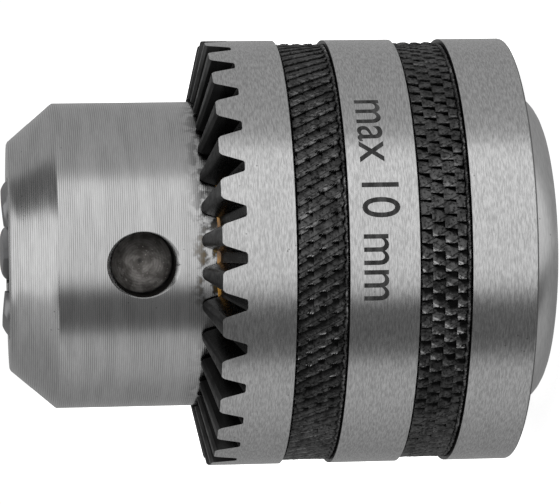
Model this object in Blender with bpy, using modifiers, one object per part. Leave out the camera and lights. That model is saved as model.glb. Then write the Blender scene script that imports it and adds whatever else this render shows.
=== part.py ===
"""Keyed three-jaw drill chuck for 1-10 mm shanks, with a B12 taper socket in its rear face.

The frame stands on the middle of the rear face with +Z running up the chuck's axis to the nose.
Places along the axis are given as depths behind the nose face, because the jaws, the key holes,
the gear teeth and the nut all line up with one another from that end.
"""

import math

import bmesh
import bpy
from mathutils import Matrix, Vector

# Fits
GAP = 0.0003  # running or seated clearance between two pieces
THREAD_GAP = 0.00015  # flank clearance of the jaw thread in the nut
THREAD_CREST_GAP = 0.0002

# Body
BODY_LENGTH = 0.0532
BODY_RADIUS = 0.0152
NOSE_FACE_RADIUS = 0.0113
NOSE_CONE_LENGTH = 0.0045
DRILL_BORE_RADIUS = 0.0053
DRILL_BORE_DEPTH = 0.027
BOSS_RADIUS = 0.0161
BOSS_EDGE_RADIUS = 0.0037
BOSS_LENGTH = 0.0038
SOCKET_MOUTH_RADIUS = 0.0060325  # B12 gauge diameter 12.065 mm
SOCKET_TAPER = 1 / 20.047  # change of diameter per length
SOCKET_DEPTH = 0.0185
SOCKET_CHAMFER = 0.0004

# Key holes
KEY_HOLE_COUNT = 3
KEY_HOLE_RADIUS = 0.0031
KEY_HOLE_DEPTH_BEHIND_NOSE = 0.01265
KEY_HOLE_STRAIGHT_DEPTH = 0.0046
KEY_HOLE_POINT_ANGLE = math.radians(118)
KEY_HOLE_COUNTERSINK = 0.0002

# Sleeve
SLEEVE_RADIUS = 0.02125
SLEEVE_WALL = 0.0019
SLEEVE_REAR_Z = 0.0035
SLEEVE_EDGE_RADIUS = 0.0008
BAND_WIDTH = 0.005
BAND_DEPTH = 0.00065
BAND_DEPTHS_BEHIND_NOSE = (0.02665, 0.03835)
TOOTH_COUNT = 30
TOOTH_APEX_DEPTH_BEHIND_NOSE = 0.0145  # where the lines of the tips and the roots meet the axis
TOOTH_TIP_SLOPE = 0.24
TOOTH_ROOT_SLOPE = 0.354
TOOTH_GAP_ROOT_WIDTH = 0.001
TOOTH_FLANK_ANGLE = math.radians(18.5)
TOOTH_PHASE = math.radians(2.5)  # first gap, from the first key hole

# Jaws
JAW_COUNT = 3
JAW_RADIUS = 0.00285
JAW_ANGLE = math.radians(13)
JAW_AXIS_RADIUS_AT_NOSE = 0.00565
JAW_TIP_STANDOFF = 0.00052
JAW_TIP_TILT = math.radians(6)
JAW_CONE_RADIUS = 0.0083  # the tips are ground to one cone about the axis; its radius at the nose face
JAW_CONE_SLOPE = 0.56
JAW_FACE_GAP = 0.0004  # between neighbouring jaws when closed
GRIP_RADIUS_AT_REST = 0.004
GRIP_RADIUS_CLOSED = 0.0005
GRIP_RADIUS_OPEN = 0.005
THREAD_PITCH = 0.0018  # travel of the jaws along their axes for one turn of the nut
THREAD_DEPTH = 0.00095
THREAD_CREST_SHARE = 0.36
THREAD_ROOT_SHARE = 0.66

# Nut and thrust bearing
NUT_DEPTH_BEHIND_NOSE = 0.0233
NUT_LENGTH = 0.0057
NUT_SEAT_STEP = 0.00045  # the sleeve's bore is this much tighter on the nut than behind it
NUT_GROOVE_CLEARANCE = 0.0004
RACE_LENGTH = 0.0015
BALL_COUNT = 20
BALL_RADIUS = 0.0008
CAGE_LENGTH = 0.0009
CAGE_WALL = 0.00035
CAGE_POCKET_GAP = 0.0002

# Facets
TURN_STEPS = 60
BORE_SEGMENTS = 24
RING_SEGMENTS = 40
EDGE_STEPS = 4
NUT_TURN_STEPS = 20
NUT_STEPS_PER_PITCH = 10

# Places worked out from the sizes above
KEY_HOLE_Z = BODY_LENGTH - KEY_HOLE_DEPTH_BEHIND_NOSE
TOOTH_APEX_Z = BODY_LENGTH - TOOTH_APEX_DEPTH_BEHIND_NOSE
NUT_FRONT_Z = BODY_LENGTH - NUT_DEPTH_BEHIND_NOSE
NUT_REAR_Z = NUT_FRONT_Z - NUT_LENGTH
NUT_MIDDLE_Z = (NUT_FRONT_Z + NUT_REAR_Z) / 2
BALL_Z = NUT_REAR_Z - GAP - BALL_RADIUS
RACE_FRONT_Z = BALL_Z - BALL_RADIUS - GAP
RACE_REAR_Z = RACE_FRONT_Z - RACE_LENGTH
SHOULDER_Z = RACE_REAR_Z - GAP
SLEEVE_REAR_BORE = SLEEVE_RADIUS - SLEEVE_WALL
SLEEVE_NUT_BORE = SLEEVE_REAR_BORE - NUT_SEAT_STEP
SLEEVE_FRONT_BORE = BODY_RADIUS + GAP
NUT_RADIUS = SLEEVE_NUT_BORE - GAP
BODY_REAR_RADIUS = SLEEVE_REAR_BORE - GAP
PITCH_Z = THREAD_PITCH * math.cos(JAW_ANGLE)
FIRST_KEY_HOLE = math.radians(-90)
JAW_AZIMUTHS = [
    FIRST_KEY_HOLE + math.pi / JAW_COUNT + 2 * math.pi * index / JAW_COUNT
    for index in range(JAW_COUNT)
]


def jaw_axis_radius(z):
    """Distance of a jaw's middle line from the chuck's axis at height z."""
    return JAW_AXIS_RADIUS_AT_NOSE + (BODY_LENGTH - z) * math.tan(JAW_ANGLE)


def jaw_outer_radius(z):
    """Distance of a jaw's outermost line from the chuck's axis at height z."""
    return jaw_axis_radius(z) + JAW_RADIUS / math.cos(JAW_ANGLE)


def travel_z(grip_radius):
    """How far up the axis the jaws stand from rest when they grip at this radius."""
    return (GRIP_RADIUS_AT_REST - grip_radius) / math.tan(JAW_ANGLE)


JAW_TIP_Z = BODY_LENGTH + JAW_TIP_STANDOFF
JAW_REAR_Z = NUT_REAR_Z + JAW_RADIUS * math.sin(JAW_ANGLE) - travel_z(GRIP_RADIUS_CLOSED)
POCKET_Z = JAW_REAR_Z + travel_z(GRIP_RADIUS_OPEN) - GAP
RACE_BORE = jaw_outer_radius(RACE_REAR_Z) + GAP
RACE_RADIUS = SLEEVE_REAR_BORE - GAP - NUT_SEAT_STEP / 2
BALL_PITCH_RADIUS = (RACE_BORE + RACE_RADIUS) / 2
CAGE_HALF_WIDTH = BALL_RADIUS + CAGE_POCKET_GAP + CAGE_WALL
NUT_GROOVE_RADIUS = jaw_outer_radius(NUT_FRONT_Z) - THREAD_DEPTH + THREAD_CREST_GAP
NUT_GROOVE_RADIUS -= NUT_GROOVE_CLEARANCE


def clear_scene():
    for old in list(bpy.data.objects):
        bpy.data.objects.remove(old, do_unlink=True)


def new_collection(name):
    collection = bpy.data.collections.new(name)
    bpy.context.scene.collection.children.link(collection)
    return collection


def new_material(name, colour, roughness, metallic):
    material = bpy.data.materials.new(name)
    material.use_nodes = True
    shader = material.node_tree.nodes["Principled BSDF"]
    shader.inputs["Base Color"].default_value = (*colour, 1)
    shader.inputs["Roughness"].default_value = roughness
    shader.inputs["Metallic"].default_value = metallic
    material.diffuse_color = (*colour, 1)
    return material


def add_part(name, mesh, material, collection, matrix=None):
    """A visible sub-part, smooth over its round faces."""
    part = bpy.data.objects.new(name, mesh)
    part.matrix_world = matrix or Matrix()
    if not mesh.materials:
        mesh.materials.append(material)
    mesh.shade_smooth()
    mesh.set_sharp_from_angle(angle=math.radians(35))
    collection.objects.link(part)
    return part


def add_cutter(name, mesh, collection, matrix=None):
    """A shape that only cuts others."""
    cutter = bpy.data.objects.new(name, mesh)
    cutter.matrix_world = matrix or Matrix()
    cutter.display_type = "WIRE"
    cutter.hide_render = True
    collection.objects.link(cutter)
    return cutter


def add_boolean(part, cutter, operation="DIFFERENCE"):
    modifier = part.modifiers.new(f"{operation.lower()}_{cutter.name}", "BOOLEAN")
    modifier.operation = operation
    modifier.solver = "EXACT"
    modifier.object = cutter


def add_turning(part, steps=TURN_STEPS):
    modifier = part.modifiers.new("turned", "SCREW")
    modifier.axis = "Z"
    modifier.angle = 2 * math.pi
    modifier.steps = steps
    modifier.render_steps = steps
    modifier.use_merge_vertices = True
    modifier.merge_threshold = 0.000001
    modifier.use_smooth_shade = True


def profile_mesh(name, points, closed):
    """An outline in the XZ plane, ready to be turned about Z."""
    edges = [(index, index + 1) for index in range(len(points) - 1)]
    if closed:
        edges.append((len(points) - 1, 0))
    mesh = bpy.data.meshes.new(name)
    mesh.from_pydata([(radius, 0, z) for radius, z in points], edges, [])
    return mesh


def cone_mesh(name, rear_radius, front_radius, length, segments):
    """A closed cylinder or cone from z = 0 up to z = length."""
    shape = bmesh.new()
    bmesh.ops.create_cone(
        shape,
        cap_ends=True,
        segments=segments,
        radius1=rear_radius,
        radius2=front_radius,
        depth=length,
        matrix=Matrix.Translation((0, 0, length / 2)),
    )
    mesh = bpy.data.meshes.new(name)
    shape.to_mesh(mesh)
    shape.free()
    return mesh


def prism_mesh(name, outline, bottom, top):
    """A flat outline in XY raised from z = bottom to z = top."""
    curve = bpy.data.curves.new(name, "CURVE")
    curve.dimensions = "2D"
    curve.fill_mode = "BOTH"
    curve.extrude = (top - bottom) / 2
    spline = curve.splines.new("POLY")
    spline.points.add(len(outline) - 1)
    for point, (x, y) in zip(spline.points, outline):
        point.co = (x, y, 0, 1)
    spline.use_cyclic_u = True
    guide = bpy.data.objects.new(name, curve)
    bpy.context.scene.collection.objects.link(guide)
    graph = bpy.context.evaluated_depsgraph_get()
    mesh = bpy.data.meshes.new_from_object(guide.evaluated_get(graph))
    bpy.data.objects.remove(guide, do_unlink=True)
    shape = bmesh.new()
    shape.from_mesh(mesh)
    bmesh.ops.remove_doubles(shape, verts=shape.verts, dist=0.000001)
    bmesh.ops.translate(shape, verts=shape.verts, vec=(0, 0, (top + bottom) / 2))
    bmesh.ops.recalc_face_normals(shape, faces=shape.faces)
    shape.to_mesh(mesh)
    shape.free()
    return mesh


def quarter_round(centre_radius, centre_z, radius, start, end):
    """Points of an arc in the XZ plane, from angle start to angle end."""
    angles = [start + (end - start) * step / EDGE_STEPS for step in range(EDGE_STEPS + 1)]
    return [
        (centre_radius + radius * math.cos(angle), centre_z + radius * math.sin(angle))
        for angle in angles
    ]


def jaw_matrix(azimuth, z):
    """A frame on a jaw's middle line at height z: local Z up the jaw, local X outwards."""
    turn = Matrix.Rotation(azimuth, 4, "Z")
    place = Matrix.Translation((jaw_axis_radius(z), 0, z))
    return turn @ place @ Matrix.Rotation(-JAW_ANGLE, 4, "Y")


def body_profile():
    """Half section of the body, from the floor of the drill bore round to the taper socket."""
    socket_top_radius = SOCKET_MOUTH_RADIUS - SOCKET_DEPTH * SOCKET_TAPER / 2
    seat_radius = RACE_BORE - GAP
    points = [
        (0, BODY_LENGTH - DRILL_BORE_DEPTH),
        (DRILL_BORE_RADIUS, BODY_LENGTH - DRILL_BORE_DEPTH),
        (DRILL_BORE_RADIUS, BODY_LENGTH),
        (NOSE_FACE_RADIUS, BODY_LENGTH),
        (BODY_RADIUS, BODY_LENGTH - NOSE_CONE_LENGTH),
        (BODY_RADIUS, NUT_FRONT_Z + GAP),
        (NUT_GROOVE_RADIUS, NUT_FRONT_Z + GAP),
        (NUT_GROOVE_RADIUS, RACE_FRONT_Z - GAP),
        (seat_radius, RACE_FRONT_Z - GAP),
        (seat_radius, SHOULDER_Z),
        (BODY_REAR_RADIUS, SHOULDER_Z),
        (BODY_REAR_RADIUS, BOSS_LENGTH),
        (BOSS_RADIUS, BOSS_LENGTH),
    ]
    points += quarter_round(
        BOSS_RADIUS - BOSS_EDGE_RADIUS, BOSS_EDGE_RADIUS, BOSS_EDGE_RADIUS, 0, -math.pi / 2
    )
    points += [
        (SOCKET_MOUTH_RADIUS + SOCKET_CHAMFER, 0),
        (SOCKET_MOUTH_RADIUS, SOCKET_CHAMFER),
        (socket_top_radius, SOCKET_DEPTH),
        (0, SOCKET_DEPTH),
    ]
    return points


def key_hole_mesh():
    """The hole that a chuck key's pilot turns in: local Z runs outwards from its drill point."""
    point_length = KEY_HOLE_RADIUS / math.tan(KEY_HOLE_POINT_ANGLE / 2)
    rim = BODY_RADIUS * (1 - math.cos(math.asin(KEY_HOLE_RADIUS / BODY_RADIUS)))
    mouth = point_length + KEY_HOLE_STRAIGHT_DEPTH
    points = [
        (0, mouth + KEY_HOLE_RADIUS),
        (KEY_HOLE_RADIUS + KEY_HOLE_COUNTERSINK + KEY_HOLE_RADIUS, mouth + KEY_HOLE_RADIUS),
        (KEY_HOLE_RADIUS, mouth - rim / 2 - KEY_HOLE_COUNTERSINK),
        (KEY_HOLE_RADIUS, point_length),
        (0, 0),
    ]
    return profile_mesh("key_hole", points, closed=False), mouth


def make_body(parts, cutters):
    material = new_material("turned_steel", (0.55, 0.55, 0.54), 0.34, 1.0)
    body = add_part("chuck_body", profile_mesh("chuck_body", body_profile(), False), material, parts)
    add_turning(body)
    length = (BODY_LENGTH + 2 * JAW_RADIUS - POCKET_Z) / math.cos(JAW_ANGLE)
    bore = cone_mesh("jaw_bore", JAW_RADIUS + GAP, JAW_RADIUS + GAP, length, BORE_SEGMENTS)
    for number, azimuth in enumerate(JAW_AZIMUTHS, 1):
        cutter = add_cutter(f"jaw_bore_{number}", bore, cutters, jaw_matrix(azimuth, POCKET_Z))
        add_boolean(body, cutter)
    hole, mouth = key_hole_mesh()
    for number in range(KEY_HOLE_COUNT):
        turn = Matrix.Rotation(FIRST_KEY_HOLE + 2 * math.pi * number / KEY_HOLE_COUNT, 4, "Z")
        place = Matrix.Translation((BODY_RADIUS - mouth, 0, KEY_HOLE_Z))
        matrix = turn @ place @ Matrix.Rotation(math.pi / 2, 4, "Y")
        cutter = add_cutter(f"key_hole_{number + 1}", hole, cutters, matrix)
        add_turning(cutter, BORE_SEGMENTS)
        add_boolean(body, cutter)
    return body


def sleeve_profile():
    """Half section of the sleeve before its teeth are cut, clockwise from the outer tooth tips."""
    points = [(SLEEVE_RADIUS, TOOTH_APEX_Z - TOOTH_TIP_SLOPE * SLEEVE_RADIUS)]
    for depth in BAND_DEPTHS_BEHIND_NOSE:
        front = BODY_LENGTH - depth
        rear = front - BAND_WIDTH
        points += [
            (SLEEVE_RADIUS, front),
            (SLEEVE_RADIUS - BAND_DEPTH, front),
            (SLEEVE_RADIUS - BAND_DEPTH, rear),
            (SLEEVE_RADIUS, rear),
        ]
    points += quarter_round(
        SLEEVE_RADIUS - SLEEVE_EDGE_RADIUS,
        SLEEVE_REAR_Z + SLEEVE_EDGE_RADIUS,
        SLEEVE_EDGE_RADIUS,
        0,
        -math.pi / 2,
    )
    points += [
        (SLEEVE_REAR_BORE, SLEEVE_REAR_Z),
        (SLEEVE_REAR_BORE, NUT_REAR_Z - GAP),
        (SLEEVE_NUT_BORE, NUT_REAR_Z - GAP),
        (SLEEVE_NUT_BORE, NUT_FRONT_Z + GAP),
        (SLEEVE_FRONT_BORE, NUT_FRONT_Z + GAP),
        (SLEEVE_FRONT_BORE, TOOTH_APEX_Z - TOOTH_TIP_SLOPE * SLEEVE_FRONT_BORE),
    ]
    return points


def tooth_gap_mesh():
    """All the gaps between the teeth, each as wide at its root inside as outside."""
    above_tips = TOOTH_TIP_SLOPE - 0.05
    reach = (SLEEVE_FRONT_BORE - GAP, SLEEVE_RADIUS + GAP)
    shape = bmesh.new()
    for number in range(TOOTH_COUNT):
        angle = FIRST_KEY_HOLE + TOOTH_PHASE + 2 * math.pi * number / TOOTH_COUNT
        turn = Matrix.Rotation(angle, 4, "Z")
        for corner in bmesh.ops.create_cube(shape, size=2)["verts"]:
            radius = reach[corner.co.x > 0]
            slope = above_tips if corner.co.z > 0 else TOOTH_ROOT_SLOPE
            above_root = (TOOTH_ROOT_SLOPE - slope) * radius
            half = TOOTH_GAP_ROOT_WIDTH / 2 + above_root * math.tan(TOOTH_FLANK_ANGLE)
            side = math.copysign(half, corner.co.y)
            corner.co = turn @ Vector((radius, side, TOOTH_APEX_Z - slope * radius))
    mesh = bpy.data.meshes.new("tooth_gaps")
    shape.to_mesh(mesh)
    shape.free()
    return mesh


def make_sleeve(parts, cutters):
    material = new_material("ground_steel", (0.60, 0.60, 0.59), 0.28, 1.0)
    mesh = profile_mesh("toothed_sleeve", sleeve_profile(), True)
    sleeve = add_part("toothed_sleeve", mesh, material, parts)
    add_turning(sleeve)
    add_boolean(sleeve, add_cutter("tooth_gaps", tooth_gap_mesh(), cutters))
    return sleeve


def nut_radius_at(z, azimuth):
    """Inner surface of the nut: a conical thread whose ridges rise right-handed with azimuth."""
    phase = (z / PITCH_Z - azimuth / (2 * math.pi)) % 1
    off_ridge = min(phase, 1 - phase) * 2
    rise = (off_ridge - THREAD_CREST_SHARE) / (THREAD_ROOT_SHARE - THREAD_CREST_SHARE)
    rise = min(max(rise, 0), 1)
    root = jaw_outer_radius(z) + THREAD_CREST_GAP
    return root - THREAD_DEPTH * (1 - rise)


def nut_half_mesh(name, start):
    """Half of the nut, lofted round the axis because its thread moves along as it turns."""
    slit = GAP / 2 / NUT_RADIUS * 1.5
    rows = round(NUT_LENGTH / PITCH_Z * NUT_STEPS_PER_PITCH)
    shape = bmesh.new()
    sections = []
    for step in range(NUT_TURN_STEPS + 1):
        azimuth = start + slit + (math.pi - 2 * slit) * step / NUT_TURN_STEPS
        outline = [(NUT_RADIUS, NUT_REAR_Z), (NUT_RADIUS, NUT_FRONT_Z)]
        for row in range(rows + 1):
            z = NUT_FRONT_Z - NUT_LENGTH * row / rows
            outline.append((nut_radius_at(z, azimuth), z))
        turn = Matrix.Rotation(azimuth, 4, "Z")
        sections.append([shape.verts.new(turn @ Vector((radius, 0, z))) for radius, z in outline])
    for one, two in zip(sections, sections[1:]):
        for index in range(len(one)):
            follow = (index + 1) % len(one)
            shape.faces.new((one[index], one[follow], two[follow], two[index]))
    shape.faces.new(sections[0])
    shape.faces.new(sections[-1])
    bmesh.ops.recalc_face_normals(shape, faces=shape.faces)
    mesh = bpy.data.meshes.new(name)
    shape.to_mesh(mesh)
    shape.free()
    return mesh


def make_nut(parts):
    material = new_material("nut_steel", (0.42, 0.42, 0.41), 0.42, 1.0)
    halves = []
    for letter, start in (("a", 0), ("b", math.pi)):
        name = f"split_nut_half_{letter}"
        halves.append(add_part(name, nut_half_mesh(name, start), material, parts))
    return halves


def jaw_outline():
    """Limits of a jaw across the chuck's axis at rest: x outwards from the axis, y along a tangent."""
    wedge = math.radians(60)
    apex = GRIP_RADIUS_AT_REST - GRIP_RADIUS_CLOSED + JAW_FACE_GAP / 2 / math.sin(wedge)
    flat = (GRIP_RADIUS_AT_REST - apex) * math.tan(wedge)
    side = 2 * JAW_RADIUS
    back = SLEEVE_REAR_BORE - GAP - (GRIP_RADIUS_OPEN - GRIP_RADIUS_AT_REST)
    return [
        (GRIP_RADIUS_AT_REST, -flat),
        (apex + side / math.tan(wedge), -side),
        (back, -side),
        (back, side),
        (apex + side / math.tan(wedge), side),
        (GRIP_RADIUS_AT_REST, flat),
    ]


def jaw_thread_mesh(azimuth):
    """The grooves that the nut's ridges run in, each an arc about the axis when it is in the nut."""
    rear = JAW_REAR_Z - PITCH_Z
    front = NUT_FRONT_Z - travel_z(GRIP_RADIUS_OPEN) + PITCH_Z
    floor = jaw_outer_radius(NUT_MIDDLE_Z) - THREAD_DEPTH
    over = THREAD_CREST_GAP * 1.5
    crest_half = PITCH_Z * THREAD_CREST_SHARE / 2 + THREAD_GAP
    surface_half = PITCH_Z * THREAD_ROOT_SHARE / 2 + THREAD_GAP
    slope = (surface_half - crest_half) / THREAD_DEPTH
    top_half = surface_half + over * slope
    shape = bmesh.new()
    first = math.ceil(rear / PITCH_Z - azimuth / (2 * math.pi))
    last = math.floor(front / PITCH_Z - azimuth / (2 * math.pi))
    for number in range(first, last + 1):
        z = PITCH_Z * (number + azimuth / (2 * math.pi))
        centre = Vector((jaw_axis_radius(z) - jaw_axis_radius(NUT_MIDDLE_Z), 0, 0))
        section = [
            (floor, z - crest_half),
            (floor + THREAD_DEPTH + over, z - top_half),
            (floor + THREAD_DEPTH + over, z + top_half),
            (floor, z + crest_half),
        ]
        corners = [shape.verts.new((centre.x + radius, 0, height)) for radius, height in section]
        edges = [shape.edges.new((corners[i], corners[(i + 1) % 4])) for i in range(4)]
        bmesh.ops.spin(
            shape,
            geom=corners + edges,
            cent=centre,
            axis=(0, 0, 1),
            angle=2 * math.pi,
            steps=RING_SEGMENTS,
            use_merge=True,
        )
    bmesh.ops.recalc_face_normals(shape, faces=shape.faces)
    mesh = bpy.data.meshes.new("jaw_thread")
    shape.to_mesh(mesh)
    shape.free()
    return mesh


def jaw_cone_mesh():
    """The ring outside the cone that the jaws' tips are ground to at rest."""
    outer = JAW_CONE_RADIUS + JAW_RADIUS / 2
    points = [
        (outer, BODY_LENGTH - JAW_CONE_SLOPE * JAW_RADIUS / 2),
        (GRIP_RADIUS_CLOSED, BODY_LENGTH + JAW_CONE_SLOPE * (JAW_CONE_RADIUS - GRIP_RADIUS_CLOSED)),
        (outer, BODY_LENGTH + 2 * JAW_RADIUS),
    ]
    return profile_mesh("jaw_cone", points, closed=True)


def make_jaws(parts, cutters):
    material = new_material("hardened_steel", (0.30, 0.30, 0.31), 0.40, 1.0)
    past = JAW_RADIUS
    length = (JAW_TIP_Z + past - JAW_REAR_Z) / math.cos(JAW_ANGLE)
    outline = prism_mesh("jaw_outline", jaw_outline(), -past, JAW_TIP_Z + 2 * past)
    jaws = []
    for number, azimuth in enumerate(JAW_AZIMUTHS, 1):
        turn = Matrix.Rotation(azimuth, 4, "Z")
        bar = cone_mesh(f"jaw_{number}", JAW_RADIUS, JAW_RADIUS, length, BORE_SEGMENTS)
        jaw = add_part(f"jaw_{number}", bar, material, parts, jaw_matrix(azimuth, JAW_REAR_Z))
        add_boolean(jaw, add_cutter(f"jaw_outline_{number}", outline, cutters, turn), "INTERSECT")
        block = cone_mesh("jaw_tip", 3 * JAW_RADIUS, 3 * JAW_RADIUS, 3 * JAW_RADIUS, 4)
        place = Matrix.Translation((jaw_axis_radius(JAW_TIP_Z), 0, JAW_TIP_Z))
        tilt = Matrix.Rotation(-JAW_TIP_TILT, 4, "Y")
        add_boolean(jaw, add_cutter(f"jaw_tip_{number}", block, cutters, turn @ place @ tilt))
        ring = add_cutter(f"jaw_cone_{number}", jaw_cone_mesh(), cutters)
        add_turning(ring)
        add_boolean(jaw, ring)
        thread = add_cutter(f"jaw_thread_{number}", jaw_thread_mesh(azimuth), cutters, turn)
        add_boolean(jaw, thread)
        jaws.append(jaw)
    return jaws


def make_thrust_bearing(parts, cutters):
    race_steel = new_material("bearing_steel", (0.52, 0.52, 0.52), 0.22, 1.0)
    brass = new_material("cage_brass", (0.62, 0.44, 0.16), 0.35, 1.0)
    ring = [
        (RACE_RADIUS, RACE_FRONT_Z),
        (RACE_RADIUS, RACE_REAR_Z),
        (RACE_BORE, RACE_REAR_Z),
        (RACE_BORE, RACE_FRONT_Z),
    ]
    race = add_part("thrust_race", profile_mesh("thrust_race", ring, True), race_steel, parts)
    add_turning(race)
    ring = [
        (BALL_PITCH_RADIUS + CAGE_HALF_WIDTH, BALL_Z + CAGE_LENGTH / 2),
        (BALL_PITCH_RADIUS + CAGE_HALF_WIDTH, BALL_Z - CAGE_LENGTH / 2),
        (BALL_PITCH_RADIUS - CAGE_HALF_WIDTH, BALL_Z - CAGE_LENGTH / 2),
        (BALL_PITCH_RADIUS - CAGE_HALF_WIDTH, BALL_Z + CAGE_LENGTH / 2),
    ]
    cage = add_part("ball_cage", profile_mesh("ball_cage", ring, True), brass, parts)
    add_turning(cage)
    shape = bmesh.new()
    bmesh.ops.create_uvsphere(shape, u_segments=10, v_segments=6, radius=BALL_RADIUS)
    ball = bpy.data.meshes.new("bearing_ball")
    shape.to_mesh(ball)
    shape.free()
    pockets = bmesh.new()
    for number in range(BALL_COUNT):
        angle = 2 * math.pi * number / BALL_COUNT
        place = Matrix.Rotation(angle, 4, "Z") @ Matrix.Translation((BALL_PITCH_RADIUS, 0, BALL_Z))
        add_part(f"bearing_ball_{number + 1:02}", ball, race_steel, parts, place)
        bmesh.ops.create_cone(
            pockets,
            cap_ends=True,
            segments=12,
            radius1=BALL_RADIUS + CAGE_POCKET_GAP,
            radius2=BALL_RADIUS + CAGE_POCKET_GAP,
            depth=2 * CAGE_LENGTH,
            matrix=place,
        )
    mesh = bpy.data.meshes.new("cage_pockets")
    pockets.to_mesh(mesh)
    pockets.free()
    add_boolean(cage, add_cutter("cage_pockets", mesh, cutters))
    return race, cage


def main():
    clear_scene()
    parts = new_collection("drill_chuck")
    cutters = new_collection("cutters")
    cutters.hide_render = True
    make_body(parts, cutters)
    make_sleeve(parts, cutters)
    make_nut(parts)
    make_jaws(parts, cutters)
    make_thrust_bearing(parts, cutters)


main()
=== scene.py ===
"""Looks of the keyed drill chuck: fine surface geometry, procedural finishes, studio and camera.

Lengths are in metres in the row frame: +Z runs up the chuck's axis from the flat rear face to the
nose, and the first key hole faces -Y. Depths are measured behind the nose face.
"""

from __future__ import annotations

import functools
import logging
import math
from dataclasses import dataclass
from enum import Enum
from typing import Callable, Iterable, Sequence

import bmesh
import bpy
import numpy as np
from mathutils import Matrix, Vector
from mathutils import noise as mathnoise


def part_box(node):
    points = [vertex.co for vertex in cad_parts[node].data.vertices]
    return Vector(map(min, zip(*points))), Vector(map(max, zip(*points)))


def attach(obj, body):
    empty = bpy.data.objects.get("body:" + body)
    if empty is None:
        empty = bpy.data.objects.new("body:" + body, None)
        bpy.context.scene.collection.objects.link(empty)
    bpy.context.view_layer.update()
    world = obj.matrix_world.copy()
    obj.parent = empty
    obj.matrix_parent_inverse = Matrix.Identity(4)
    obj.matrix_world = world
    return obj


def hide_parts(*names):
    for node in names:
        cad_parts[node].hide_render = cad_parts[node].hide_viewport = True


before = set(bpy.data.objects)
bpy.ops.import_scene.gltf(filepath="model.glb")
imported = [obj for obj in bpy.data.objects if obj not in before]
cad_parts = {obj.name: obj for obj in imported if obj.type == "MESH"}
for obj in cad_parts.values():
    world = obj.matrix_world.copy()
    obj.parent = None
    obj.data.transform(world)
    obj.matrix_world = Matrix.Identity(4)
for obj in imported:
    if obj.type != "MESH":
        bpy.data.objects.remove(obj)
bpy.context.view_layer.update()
LOG = logging.getLogger("drill_chuck")

MM = 0.001
AXIS_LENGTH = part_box("chuck_body")[1].z
SLEEVE_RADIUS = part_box("toothed_sleeve")[1].x
SLEEVE_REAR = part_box("toothed_sleeve")[0].z
KEY_HOLE_DEPTH = 12.65 * MM
FIRST_KEY_HOLE = math.radians(-90)
KEY_HOLE_ANGLES = tuple(FIRST_KEY_HOLE + 2 * math.pi * i / 3 for i in range(3))
JAW_AZIMUTHS = tuple(FIRST_KEY_HOLE + math.pi / 3 + 2 * math.pi * i / 3 for i in range(3))
JAW_ANGLE = math.radians(13)
JAW_AXIS_AT_NOSE = 5.65 * MM
SOCKET_TAPER = 1 / 20.047
ON_AXIS = 1e-7

Point = tuple[float, float]
Socket = bpy.types.NodeSocket


def at_depth(depth: float) -> float:
    """Height in the frame of a place this far behind the nose face."""
    return AXIS_LENGTH - depth


# ---------------------------------------------------------------------------------------------
# Node trees
# ---------------------------------------------------------------------------------------------


class Graph:
    """Fills one node tree: makes nodes, sets their inputs and links them."""

    def __init__(self, tree: bpy.types.NodeTree) -> None:
        """Starts on an emptied tree."""
        self.tree = tree
        tree.nodes.clear()

    def add(self, kind: str, inputs: dict | None = None, **settings: object) -> bpy.types.Node:
        """Makes a node.

        Args:
            kind: the node's type without its prefix, such as "TexNoise".
            inputs: input name or number to a value, or to the output socket to link in.
            settings: properties of the node itself, such as operation.

        Returns:
            The new node.
        """
        node = self.tree.nodes.new(f"ShaderNode{kind}")
        for name, value in settings.items():
            setattr(node, name, value)
        self.feed(node, inputs or {})
        return node

    def feed(self, node: bpy.types.Node, inputs: dict[str | int, object]) -> None:
        """Links sockets to a node's inputs, and sets the inputs that are given a value."""
        for name, value in inputs.items():
            if isinstance(value, bpy.types.NodeSocket):
                self.tree.links.new(value, node.inputs[name])
            else:
                node.inputs[name].default_value = value

    def where(self) -> Socket:
        """The place on the object."""
        return self.add("TexCoord").outputs["Object"]

    def parts(self, spot: Socket) -> bpy.types.NodeOutputs:
        """A vector's X, Y and Z."""
        return self.add("SeparateXYZ", {0: spot}).outputs

    def vector(self, operation: str, first: object, second: object) -> Socket:
        """A Vector Math node's vector."""
        return self.add("VectorMath", {0: first, 1: second}, operation=operation).outputs[0]

    def length(self, operation: str, first: object, second: object = (0, 0, 0)) -> Socket:
        """A Vector Math node's number."""
        return self.add("VectorMath", {0: first, 1: second}, operation=operation).outputs["Value"]

    def noise(self, spot: Socket, scale: float, detail: float, **more: float) -> Socket:
        """A noise's value."""
        inputs = {"Vector": spot, "Scale": scale, "Detail": detail, **more}
        return self.add("TexNoise", inputs).outputs["Fac"]

    def product(self, *values: float | Socket) -> Socket:
        """Values multiplied together."""
        return functools.reduce(lambda one, two: self.math("MULTIPLY", one, two), values)

    def wave(self, turns: Socket) -> Socket:
        """A smooth wave from 0 to 1, once for every whole turn."""
        phase = self.math("MULTIPLY", turns, 2 * math.pi)
        return self.math("MULTIPLY_ADD", self.math("SINE", phase), 0.5, 0.5)

    def math(self, operation: str, *values: float | Socket, clamp: bool = False) -> Socket:
        """A Math node's result."""
        inputs = dict(enumerate(values))
        return self.add("Math", inputs, operation=operation, use_clamp=clamp).outputs[0]

    def spread(self, value: Socket, low: float, high: float, to_low: float, to_high: float) -> Socket:
        """A value mapped smoothly from one range to another."""
        inputs = {"Value": value, "From Min": low, "From Max": high, "To Min": to_low, "To Max": to_high}
        node = self.add("MapRange", inputs, interpolation_type="SMOOTHSTEP")
        return node.outputs["Result"]

    def blend(self, share: float | Socket, first: object, second: object) -> Socket:
        """A colour between two others."""
        node = self.add("Mix", {0: share, 6: first, 7: second}, data_type="RGBA")
        return node.outputs[2]


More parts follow.
